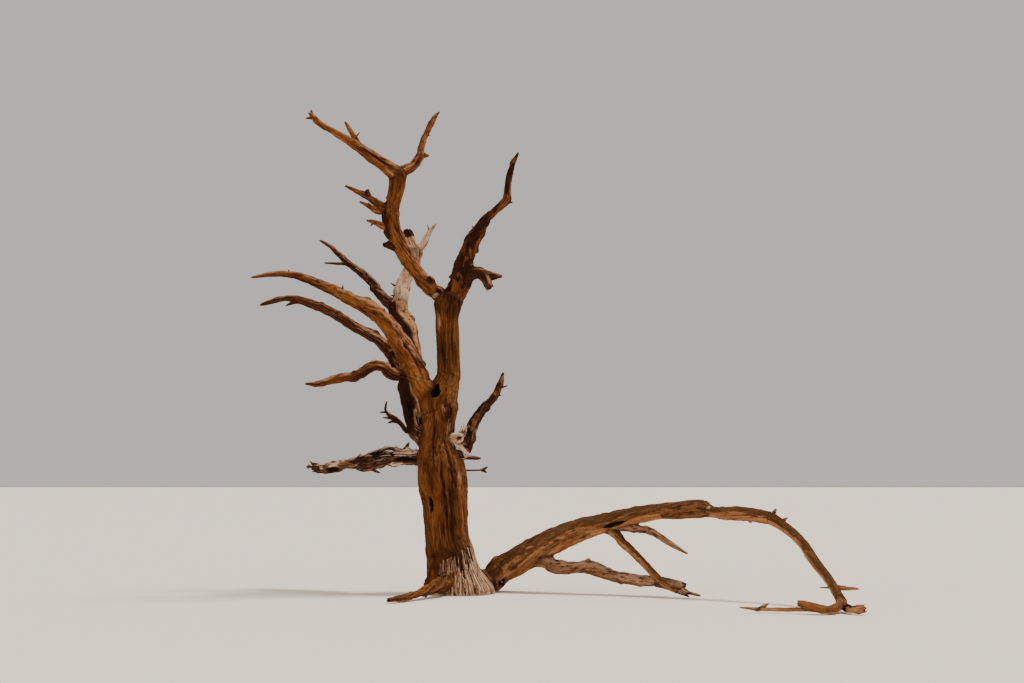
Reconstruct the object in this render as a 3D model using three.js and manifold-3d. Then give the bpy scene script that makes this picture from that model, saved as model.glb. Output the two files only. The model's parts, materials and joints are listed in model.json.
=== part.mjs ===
// A dead thorn tree, bleached and split by the sun, still rooted where it grew.
//
// The leaning trunk spreads into root ridges at the ground and parts at a crotch a little
// above head height. Two stems and their boughs rise from the crotch, a third stem leaves the
// back of the trunk lower down, and one heavy low bough springs from the foot, arches over and
// comes down to the ground again.
//
// Millimetres. +X is to the right, +Y to the back, +Z up. The origin is on the level ground at
// the trunk's foot.

import * as THREE from 'three';
import { mergeVertices } from 'three/addons/utils/BufferGeometryUtils.js';
import Module from 'manifold-3d';

const wasm = await Module();
wasm.setup();

// Driving sizes
const footDepth = 60; // how far the trunk's course starts under the ground before the flat cut
const fitGap = 0.4; // between two pieces of wood that meet
const trunkSides = 24;
const thickSides = 10;
const thinSides = 8;
const thinLimb = 150; // a limb with a foot thinner than this has the fewer sides
const ringSpacing = 1; // rings along a limb, in limb thicknesses
const trunkRingSpacing = 0.22;
const widestRingGap = 210;

// The root ridges at the foot of the trunk: heading in degrees, reach past the trunk, height
// over which a ridge dies away, and how narrow it is
const rootRidges = [
  { heading: 0, reach: 225, height: 210, narrowness: 3 },
  { heading: 62, reach: 120, height: 260, narrowness: 8 },
  { heading: 128, reach: 90, height: 200, narrowness: 8 },
  { heading: 195, reach: 55, height: 160, narrowness: 8 },
  { heading: 246, reach: 95, height: 240, narrowness: 10 },
  { heading: 305, reach: 120, height: 250, narrowness: 8 },
];

const wood = {
  trunk: { color: 0x5a3a1e, roughness: 0.85 },
  bough: { color: 0x6b4526, roughness: 0.85 },
  shaded: { color: 0x3f2c22, roughness: 0.9 },
  bleached: { color: 0xb3a08a, roughness: 0.9 },
};

// Every limb. It leaves the limb named in `from` at the fraction `at` of that limb's course,
// starts `thick` there, and grows through its legs. A leg is its length, the heading that it
// grows in (0 is right, 90 is to the back, 180 is left), its climb above level, and the limb's
// thickness at its end.
const limbs = {
  trunk: {
    start: [-105, 0, -footDepth], thick: 600, wood: 'trunk',
    legs: [
      [425, 180, 84, 530], [340, 180, 82, 495], [330, 180, 87, 510], [310, 180, 83, 595],
      [170, 180, 86, 575], [290, 180, 82, 410], [100, 0, 78, 360], [240, 0, 90, 420],
      [130, 180, 88, 490], [140, 0, 90, 400],
    ],
  },
  right_stem: {
    from: 'trunk', at: 0.94, thick: 290, wood: 'bough',
    legs: [[240, 15, 62, 295], [440, 105, 88, 275], [490, 160, 88, 295], [220, 0, 86, 410]],
  },
  upper_left_bough: {
    from: 'right_stem', at: 0.92, thick: 265, wood: 'bough',
    legs: [
      [250, 190, 32, 190], [260, 195, 50, 175], [300, 195, 56, 185], [240, 205, 62, 180],
      [240, 225, 76, 165], [240, 320, 74, 170], [200, 320, 74, 225], [120, 300, 84, 180],
    ],
  },
  crown_left_bough: {
    from: 'upper_left_bough', at: 0.96, thick: 200, wood: 'bough',
    legs: [
      [220, 205, 28, 165], [200, 200, 30, 140], [200, 195, 34, 110], [290, 200, 28, 80],
      [240, 195, 28, 75], [130, 200, 48, 45],
    ],
  },
  crown_left_spur: {
    from: 'crown_left_bough', at: 0.39, thick: 95, wood: 'bough',
    legs: [[250, 170, 56, 65], [190, 170, 58, 35]],
  },
  crown_right_bough: {
    from: 'upper_left_bough', at: 0.97, thick: 155, wood: 'bough',
    legs: [
      [170, 15, 28, 120], [170, 25, 50, 115], [150, 65, 72, 85], [140, 45, 68, 70],
      [230, 40, 62, 80], [150, 40, 56, 35],
    ],
  },
  upper_left_snag_high: {
    from: 'upper_left_bough', at: 0.76, thick: 145, wood: 'bough',
    legs: [[160, 195, -2, 105], [190, 205, 30, 75], [140, 200, 22, 60], [140, 205, 20, 25]],
  },
  upper_left_snag_middle: {
    from: 'upper_left_bough', at: 0.7, thick: 130, wood: 'bough',
    legs: [[170, 175, 12, 95], [130, 170, 32, 60], [120, 170, 26, 25]],
  },
  upper_left_snag_low: {
    from: 'upper_left_bough', at: 0.59, thick: 130, wood: 'bough',
    legs: [[130, 200, 22, 95], [120, 195, 20, 60], [100, 200, 10, 25]],
  },
  upper_right_bough: {
    from: 'right_stem', at: 0.94, thick: 290, wood: 'bough',
    legs: [
      [180, 355, 54, 265], [170, 345, 66, 240], [200, 320, 70, 215], [190, 330, 68, 180],
      [270, 335, 56, 145], [160, 345, 48, 90], [230, 5, 38, 90], [200, 30, 82, 85],
      [240, 30, 80, 75], [210, 10, 64, 25],
    ],
  },
  right_stub: {
    from: 'upper_right_bough', at: 0.15, thick: 190, wood: 'bough',
    legs: [
      [160, 340, 10, 145], [140, 335, -4, 160], [130, 350, -14, 95], [100, 345, 0, 35],
    ],
  },
  right_stub_end: {
    from: 'right_stub', at: 0.58, thick: 120, wood: 'bough',
    legs: [[90, 320, -64, 105], [90, 280, -72, 95]],
  },
  front_left_stem: {
    from: 'trunk', at: 0.95, thick: 240, wood: 'bough',
    legs: [
      [270, 195, 42, 215], [190, 205, 64, 245], [210, 205, 60, 250], [430, 200, 56, 215],
      [240, 200, 46, 195], [190, 195, 26, 170], [410, 195, 24, 125], [330, 195, 22, 100],
      [300, 195, 8, 70], [320, 190, -10, 30],
    ],
  },
  back_stem: {
    from: 'trunk', at: 0.68, thick: 265, wood: 'shaded',
    legs: [
      [280, 155, 30, 230], [200, 135, 62, 220], [250, 135, 68, 245], [210, 135, 72, 230],
      [170, 150, 70, 210],
    ],
  },
  lower_left_bough: {
    from: 'back_stem', at: 0.91, thick: 195, wood: 'shaded',
    legs: [
      [250, 155, 66, 165], [240, 165, 62, 145], [210, 170, 52, 140], [270, 170, 30, 130],
      [350, 175, 32, 125], [360, 175, 26, 115], [340, 175, 14, 85], [170, 175, -10, 75],
      [190, 180, -18, 30],
    ],
  },
  rear_stem: {
    from: 'back_stem', at: 0.84, thick: 220, wood: 'shaded',
    legs: [
      [290, 55, 70, 235], [320, 115, 74, 245], [230, 135, 70, 280], [260, 150, 60, 265],
      [200, 125, 76, 245],
    ],
  },
  rear_left_bough: {
    from: 'rear_stem', at: 0.92, thick: 200, wood: 'shaded',
    legs: [
      [260, 160, 36, 130], [240, 155, 52, 115], [210, 165, 42, 100], [270, 165, 36, 80],
      [260, 165, 44, 55], [180, 165, 30, 30],
    ],
  },
  rear_pale_bough: {
    from: 'rear_stem', at: 0.95, thick: 225, wood: 'bleached',
    legs: [[250, 65, 66, 185], [220, 40, 66, 150], [230, 30, 58, 150], [140, 70, 72, 175]],
  },
  pale_fork_left: {
    from: 'rear_pale_bough', at: 0.92, thick: 125, wood: 'bleached',
    legs: [[160, 160, 60, 125], [160, 145, 76, 120]],
  },
  pale_fork_right: {
    from: 'rear_pale_bough', at: 0.97, thick: 115, wood: 'bleached',
    legs: [[140, 30, 46, 95], [130, 40, 64, 75], [150, 30, 54, 40]],
  },
  mid_left_bough: {
    from: 'lower_left_bough', at: 0.04, thick: 170, wood: 'bough',
    legs: [
      [170, 205, 28, 145], [160, 200, 48, 130], [120, 200, 10, 120], [270, 195, -30, 120],
      [240, 195, -10, 110], [200, 195, -18, 80], [180, 190, -2, 30],
    ],
  },
  left_twig: {
    from: 'back_stem', at: 0.34, thick: 75, wood: 'bough',
    legs: [
      [140, 185, 24, 65], [170, 205, 54, 55], [70, 200, 28, 80], [160, 190, 42, 35],
      [120, 300, 78, 20],
    ],
  },
  low_left_bough: {
    from: 'trunk', at: 0.67, thick: 240, wood: 'bleached',
    legs: [
      [300, 155, 4, 175], [260, 150, 2, 200], [180, 150, 2, 235], [260, 155, -14, 210],
      [350, 160, -6, 150], [200, 160, -12, 145], [230, 165, 0, 115],
    ],
  },
  right_limb: {
    from: 'trunk', at: 0.66, thick: 240, wood: 'shaded',
    legs: [
      [260, 30, 16, 180], [170, 30, 50, 150], [260, 45, 68, 140], [190, 30, 56, 115],
      [260, 20, 46, 100], [190, 35, 60, 75], [150, 55, 70, 30],
    ],
  },
  low_bough_rise: {
    from: 'trunk', at: 0.07, thick: 315, wood: 'bough',
    legs: [
      [560, 30, 10, 330], [300, 350, 28, 335], [370, 345, 30, 320], [470, 350, 24, 290],
      [420, 340, 16, 230], [460, 345, 14, 200], [370, 335, 6, 190], [330, 335, 4, 185],
    ],
  },
  low_bough_crest: {
    from: 'low_bough_rise', at: 1, thick: 180, wood: 'bough',
    legs: [
      [210, 330, -14, 145], [210, 325, 2, 175], [250, 325, -4, 160], [210, 320, -8, 140],
    ],
  },
  low_bough_fall: {
    from: 'low_bough_crest', at: 1, thick: 135, wood: 'bough',
    legs: [
      [230, 315, -28, 120], [260, 305, -32, 115], [360, 290, -36, 120], [330, 290, -34, 105],
      [390, 280, -32, 100],
    ],
  },
  low_bough_hook: {
    from: 'low_bough_rise', at: 0.62, thick: 145, wood: 'bough',
    legs: [
      [220, 340, -12, 105], [370, 345, -4, 90], [260, 340, -30, 70], [260, 345, -30, 35],
    ],
  },
  low_bough_thin_prop: {
    from: 'low_bough_rise', at: 0.63, thick: 145, wood: 'bough',
    legs: [
      [290, 330, -42, 115], [350, 320, -36, 95], [320, 320, -40, 85], [300, 320, -30, 60],
    ],
  },
  low_bough_thick_prop: {
    from: 'low_bough_rise', at: 0.32, thick: 245, wood: 'bough',
    legs: [
      [340, 340, -22, 165], [280, 345, -2, 145], [190, 340, 2, 170], [230, 340, -20, 145],
      [410, 330, -8, 140], [420, 330, -4, 135], [240, 315, -20, 90],
    ],
  },
  toe_left: {
    from: 'low_bough_fall', at: 0.99, thick: 95, wood: 'bough',
    legs: [[370, 235, -6, 90], [150, 165, 10, 95], [160, 150, 12, 75]],
  },
  toe_right: {
    from: 'low_bough_fall', at: 1, thick: 95, wood: 'bough',
    legs: [[290, 280, -6, 75], [160, 20, 12, 45]],
  },
  surface_root: {
    from: 'trunk', at: 0.12, thick: 215, wood: 'trunk',
    legs: [
      [330, 265, -10, 210], [240, 240, -12, 180], [330, 240, -8, 135], [320, 240, -6, 100],
      [270, 230, -2, 70],
    ],
  },
};

const radians = THREE.MathUtils.degToRad;

// The way that a leg grows, from its heading and climb
function direction(heading, climb) {
  return new THREE.Vector3(
    Math.cos(radians(climb)) * Math.cos(radians(heading)),
    Math.cos(radians(climb)) * Math.sin(radians(heading)),
    Math.sin(radians(climb)),
  );
}

// A limb's course, a smooth curve through the ends of its legs, and its thickness along it
function grow(limb, courses) {
  const start = limb.start
    ? new THREE.Vector3(...limb.start)
    : courses[limb.from].curve.getPointAt(limb.at);
  const joints = [start];
  const thicknesses = [limb.thick];
  const reached = [0];
  for (const [length, heading, climb, thickness] of limb.legs) {
    joints.push(joints.at(-1).clone().addScaledVector(direction(heading, climb), length));
    thicknesses.push(thickness);
    reached.push(reached.at(-1) + length);
  }
  const curve = new THREE.CatmullRomCurve3(joints, false, 'centripetal');
  curve.arcLengthDivisions = 400;
  return { curve, thicknesses, stations: reached.map((r) => r / reached.at(-1)) };
}

// Half the limb's thickness at a fraction of its course, eased between the ends of its legs
function radiusAt(course, fraction) {
  const { stations, thicknesses } = course;
  let leg = 1;
  while (leg < stations.length - 1 && fraction > stations[leg]) leg += 1;
  const along = (fraction - stations[leg - 1]) / (stations[leg] - stations[leg - 1]);
  const eased = THREE.MathUtils.smoothstep(along, 0, 1);
  return THREE.MathUtils.lerp(thicknesses[leg - 1], thicknesses[leg], eased) / 2;
}

// How far the root ridges push the trunk's surface out, at a height and a heading
function ridgeReach(height, heading) {
  let reach = 0;
  for (const ridge of rootRidges) {
    const facing = Math.max(0, Math.cos(heading - radians(ridge.heading)));
    const fade = Math.exp(-Math.max(0, height) / ridge.height);
    reach += ridge.reach * fade * facing ** ridge.narrowness;
  }
  return reach;
}

// A closed cylinder bent along the limb's course, `grown` larger all round
function limbGeometry(name, course, grown) {
  const { curve, thicknesses } = course;
  const isTrunk = name === 'trunk';
  const length = curve.getLength();
  const mean = thicknesses.reduce((sum, value) => sum + value, 0) / thicknesses.length;
  const sides = isTrunk ? trunkSides : thicknesses[0] < thinLimb ? thinSides : thickSides;
  const spacing = Math.min(mean * (isTrunk ? trunkRingSpacing : ringSpacing), widestRingGap);
  const rings = Math.max(3, Math.round(length / spacing));
  const geometry = new THREE.CylinderGeometry(1, 1, 1, sides, rings);
  const frames = curve.computeFrenetFrames(rings, false);
  const place = geometry.attributes.position;
  const point = new THREE.Vector3();
  for (let i = 0; i < place.count; i += 1) {
    const ring = Math.round((place.getY(i) + 0.5) * rings);
    const fraction = ring / rings;
    const across = place.getX(i);
    const over = place.getZ(i);
    const side = frames.normals[ring].clone().multiplyScalar(across)
      .addScaledVector(frames.binormals[ring], -over);
    curve.getPointAt(fraction, point);
    let radius = radiusAt(course, fraction) + grown;
    if (isTrunk) radius += ridgeReach(point.z, Math.atan2(side.y, side.x));
    point.addScaledVector(side, radius);
    if (ring === 0) point.addScaledVector(frames.tangents[0], -grown);
    if (ring === rings) point.addScaledVector(frames.tangents[rings], grown);
    place.setXYZ(i, point.x, point.y, point.z);
  }
  return geometry;
}

// Between a three.js geometry and a solid that can be cut
function toSolid(geometry) {
  const bare = geometry.clone();
  bare.deleteAttribute('normal');
  bare.deleteAttribute('uv');
  const merged = mergeVertices(bare, 1e-4);
  return new wasm.Manifold(new wasm.Mesh({
    numProp: 3,
    vertProperties: new Float32Array(merged.attributes.position.array),
    triVerts: new Uint32Array(merged.index.array),
  }));
}

function toGeometry(solid) {
  const mesh = solid.getMesh();
  const geometry = new THREE.BufferGeometry();
  geometry.setAttribute('position', new THREE.BufferAttribute(mesh.vertProperties, 3));
  geometry.setIndex(new THREE.BufferAttribute(mesh.triVerts, 1));
  geometry.computeVertexNormals();
  return geometry;
}

function largestPiece(solid) {
  return solid.decompose().reduce((best, piece) => (piece.volume() > best.volume() ? piece : best));
}

// The level ground, as a block that cuts off whatever would reach below it
const groundBlock = new THREE.BoxGeometry(20000, 20000, 1000);
groundBlock.translate(0, 0, -500);
const ground = toSolid(groundBlock);

const tree = new THREE.Group();
const courses = {};
const cutters = [];
for (const [name, limb] of Object.entries(limbs)) {
  const course = grow(limb, courses);
  courses[name] = course;
  let solid = toSolid(limbGeometry(name, course, 0)).subtract(ground);
  for (const cutter of cutters) solid = solid.subtract(cutter);
  const mesh = new THREE.Mesh(toGeometry(largestPiece(solid)), new THREE.MeshStandardMaterial(wood[limb.wood]));
  mesh.name = name;
  tree.add(mesh);
  cutters.push(toSolid(limbGeometry(name, course, fitGap)));
}

export default tree;
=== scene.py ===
"""A dead thorn tree, bleached and split by the sun, still standing where it grew.

Every limb is measured from its solid in the frame. It is then made again as a pole of fine
faces, bent along the limb's course, with the furrows, cracks, knots and broken ends of dead
wood. Metres. +X is to the right, +Y to the back, +Z up, and the ground is at height 0.
"""

import json
import math
import random
from dataclasses import dataclass
from functools import partial
from itertools import product

import bmesh
import bpy
import numpy as np
from bpy.props import FloatProperty, FloatVectorProperty, IntProperty, PointerProperty
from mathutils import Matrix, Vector
from mathutils.bvhtree import BVHTree

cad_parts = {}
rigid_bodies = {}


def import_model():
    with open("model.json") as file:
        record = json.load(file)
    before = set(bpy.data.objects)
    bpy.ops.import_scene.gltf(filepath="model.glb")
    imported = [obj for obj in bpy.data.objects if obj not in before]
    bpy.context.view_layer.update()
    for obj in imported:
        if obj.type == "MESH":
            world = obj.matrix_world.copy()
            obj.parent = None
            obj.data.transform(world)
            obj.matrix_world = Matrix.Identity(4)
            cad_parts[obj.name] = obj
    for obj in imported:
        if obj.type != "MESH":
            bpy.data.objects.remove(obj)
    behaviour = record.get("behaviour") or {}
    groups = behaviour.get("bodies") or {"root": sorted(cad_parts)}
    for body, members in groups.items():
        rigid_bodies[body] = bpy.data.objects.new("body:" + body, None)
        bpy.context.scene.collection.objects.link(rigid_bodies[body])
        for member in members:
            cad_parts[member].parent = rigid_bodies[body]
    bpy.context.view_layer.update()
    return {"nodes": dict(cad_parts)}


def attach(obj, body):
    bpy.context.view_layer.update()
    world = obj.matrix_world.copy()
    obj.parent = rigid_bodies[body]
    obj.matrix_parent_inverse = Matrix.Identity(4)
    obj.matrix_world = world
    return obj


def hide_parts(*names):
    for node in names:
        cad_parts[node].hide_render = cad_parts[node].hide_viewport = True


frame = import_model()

bl_info = {
    "name": "Dead Tree",
    "version": (1, 0, 0),
    "blender": (4, 5, 0),
    "location": "3D View > Sidebar > Dead Tree",
    "description": "Builds a dead tree of weathered wood round its measured solids",
    "category": "Add Mesh",
}

# How a limb is measured
COURSE_STEP = 0.01  # between the points of a limb's course
COURSE_ROUNDS = 4  # of evening out its radius
CUT_GAP = 0.3  # between the cuts that find its middle, in radii
CUT_REACH = 2.5  # how far a cut looks, in radii
CUT_TURN = 0.6  # how much of its way a cut takes from the last two middles
MOST_CUTS = 200
FEWEST_CROSSED = 5  # a cut that crosses fewer edges is past the end
MOST_DRIFT = 0.35  # and so is one whose middle jumps further aside, in radii
THICKNESS_CHANGE = (0.7, 1.4)  # or whose radius changes more than this
CLEAR_OF_PARENT = 0.7  # cuts stop this near to the parent, in radii
WELD = 1e-5
BASE_CORNERS = 6  # a solid's foot is amid about this many corners, the nearest to its parent
START_CORNERS = 16  # the first cut is amid this many corners
START_ROUNDS = 4  # of finding the first cut's middle and way
START_SHARE = 0.6  # the first cut is this far from a solid's foot to its end
START_REACH = 0.4  # how far the first cut looks
START_GAP = 0.03  # between the two cuts that give the way there
SHORT_LIMB = (0.3, 0.65, 1.0)  # the middles of one too short to cut, in shares of its length
SPUR_KNOTS = 6
TRUNK_RAYS = 72
TRUNK_ROUNDS = (3, 30)  # of evening out the trunk's radius, round it and along it
FOOT_POINT = 20  # the first point of a course that is out of its parent
BATCH = 20000  # how many points are measured at a time
FLARE_HEIGHT = 0.35  # below it the trunk's course runs straight down, whatever its roots do
GROUND_MARGIN = 0.06  # no ray starts lower than this
TOP_MARGIN = 0.12  # nor nearer to the trunk's top than this
LEAD_GAP = 0.03  # between the points that lead a limb out of its parent

# How limbs grow together, in radii of the slighter limb's foot
FILLET = 0.85  # between a limb and its parent
CROTCH = 0.3  # between two limbs of the same parent
SINKING = 0.3  # how deep one goes under the other, in lengths of the fillet
FORK_TAPER = 2.5  # a limb that forks narrows over this many radii at its end
FORK_NARROWING = 0.14

# And in lengths of the fillet
MOST_FILL = 0.5  # the furthest that the wood moves out
FILL_REACH = 1.0  # wood that is further from the other limb stays where it is
SEAM_WIDTH = 0.6
FAR_FROM_SEAM = 3.0
MEETING_ROUNDS = 4  # of moving the wood out
SEAM_SHADE_AND_BARK = 0.45  # how far dark bark and painted crease shade cover the seam between two limbs
SEAM_FLATNESS = 0.75  # how much of the relief is gone there

SUNNY_SIDE = (0.45, 0.1, 0.88)  # the way that the paler side of the wood faces, near where the key lamp shines from: partly sun-bleaching, partly painted light
SUN_EDGE = (0.05, 0.65)  # from none of the sun colour to all of it, as wood turns that way
SUN_PATCHES = (0.3, 0.07)  # the length and width of the patches where that side is paler still
SUN_PATCHINESS = 0.3

# The loose strands of the trunk's foot
STRAND_SEED = 11
FIRST_STRAND_SEED = 900
STRAND_SPREAD = (-0.25, 1.25)  # from the right of the trunk, at 0, to its front, at 1
STRAND_SHIFT = 0.4  # how far one is out of its place, in the gaps between them
STRAND_FEET = (0.0, 0.0, 0.04, 0.1)  # one of these is how high it may start
STRAND_TOPS = (0.20, 0.66)
STRAND_FALL = 0.35  # how much lower the strands end at the left
STRAND_KNOTS = 9
STRAND_THICK = (0.005, 0.015)
STRAND_TIP = 0.5
STRAND_LIFT = (0.1, 0.85)  # the least that it stands out, and how much more, in its radii
STRAND_SWAY = 0.016
STRAND_TWIST = 4.0
STRAND_BLEACH_AND_LIGHT = (0.2, 0.6)  # the least paling of a strand's lit side, sun-bleaching with painted light, and how much more


@dataclass(frozen=True)
class Limb:
    """A limb: the one that it leaves, its finish, how it ends, and how its wood has weathered."""

    parent: str
    leaves: float  # how far along its parent it starts, from 0 at the parent's foot to 1
    finish: str
    end: str = "worn"
    nodes: tuple = ()
    twist: float = 0.8  # turn of the grain, in radians for each metre
    lumps: float = 1.0  # how uneven it is
    cracks: float = 1.0  # how deeply it has split
    bark: float = 0.0  # how much dark bark still clings to it
    bleach_and_light: float = 0.5  # how far the sun has greyed it, together with painted light on its side towards the key lamp
    sunned: float = 0.0  # how far round it the greyed side, with its painted light, reaches
    slim: float = 1.0  # its thickness, in thicknesses of its solid


LIMBS = {
    "trunk": Limb(
        "", 0, "trunk_wood", "fork", nodes=("trunk", "right_stem"), twist=0.12, lumps=0.35, bleach_and_light=0.15
    ),
    "upper_left_bough": Limb("trunk", 0.945, "golden_wood", "fork"),
    "crown_left_bough": Limb("upper_left_bough", 0.96, "golden_wood", "snapped"),
    "crown_left_spur": Limb("crown_left_bough", 0.39, "golden_wood"),
    "crown_right_bough": Limb("upper_left_bough", 0.97, "golden_wood"),
    "upper_left_snag_high": Limb("upper_left_bough", 0.76, "golden_wood", "snapped", bark=0.15),
    "upper_left_snag_middle": Limb("upper_left_bough", 0.7, "golden_wood", "snapped", bark=0.15),
    "upper_left_snag_low": Limb("upper_left_bough", 0.59, "golden_wood", "snapped", bark=0.15),
    "upper_right_bough": Limb("trunk", 0.95, "trunk_wood", bark=0.45, lumps=1.6),
    "right_stub": Limb("upper_right_bough", 0.15, "shaded_wood", "snapped", bark=0.3),
    "right_stub_end": Limb("right_stub", 0.58, "shaded_wood", "hollow", lumps=1.8, slim=1.25),
    "front_left_stem": Limb("trunk", 0.627, "golden_wood", lumps=1.2, bleach_and_light=1.3),
    "rear_stem": Limb(
        "trunk", 0.449, "rear_wood", "fork", nodes=("back_stem", "rear_stem"), cracks=1.5, bleach_and_light=0.8
    ),
    "lower_left_bough": Limb("rear_stem", 0.514, "shaded_wood", lumps=1.5),
    "rear_left_bough": Limb("rear_stem", 0.955, "shaded_wood", lumps=1.5),
    "rear_pale_bough": Limb("rear_stem", 0.961, "bleached_wood", "fork"),
    "pale_fork_left": Limb("rear_pale_bough", 0.92, "bleached_wood", lumps=1.4),
    "pale_fork_right": Limb("rear_pale_bough", 0.97, "bleached_wood", "snapped"),
    "mid_left_bough": Limb("lower_left_bough", 0.04, "trunk_wood", lumps=1.6, bleach_and_light=0.7),
    "left_twig": Limb("rear_stem", 0.275, "shaded_wood"),
    "low_left_bough": Limb(
        "trunk", 0.442, "flaking_wood", "hollow", lumps=1.8, cracks=1.8, bleach_and_light=1.4
    ),
    "right_limb": Limb("trunk", 0.436, "shaded_wood", lumps=1.5, bark=0.4, bleach_and_light=0.35),
    "low_bough": Limb(
        "trunk", 0.046, "low_bough_wood", "fork", lumps=0.6, cracks=0.8, bleach_and_light=1.2, sunned=0.55,
        nodes=("low_bough_rise", "low_bough_crest", "low_bough_fall"),
    ),
    "low_bough_hook": Limb("low_bough", 0.35, "prop_wood", bleach_and_light=0.9),
    "low_bough_thin_prop": Limb("low_bough", 0.36, "low_bough_wood", bleach_and_light=0.9, sunned=0.4),
    "low_bough_thick_prop": Limb("low_bough", 0.18, "prop_wood", "snapped", lumps=1.3, bleach_and_light=0.8),
    "toe_left": Limb("low_bough", 0.99, "low_bough_wood", "snapped"),
    "toe_right": Limb("low_bough", 0.99, "low_bough_wood", "snapped", bark=0.4),
    "surface_root": Limb(
        "trunk", 0.079, "trunk_wood", "snapped", twist=3.0, lumps=1.8, cracks=2.0, bleach_and_light=0.12, slim=0.75
    ),
}


@dataclass(frozen=True)
class Spur:
    """A broken twig: where it leaves its parent, the way it grows, how it bends, and its size."""

    parent: str
    leaves: float
    way: tuple
    length: float  # from the middle of its parent
    thick: float  # its radius at its foot
    bend: tuple = (0.0, 0.0, 0.0)  # how far its end is bent aside, in lengths
    tip: float = 0.45  # its radius at its end, in radii at its foot
    end: str = "worn"
    lumps: float = 1.0


def knob(*sizes, **shape):
    """A twig with a whole, rounded end."""
    return Spur(*sizes, end="round", **shape)


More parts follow.
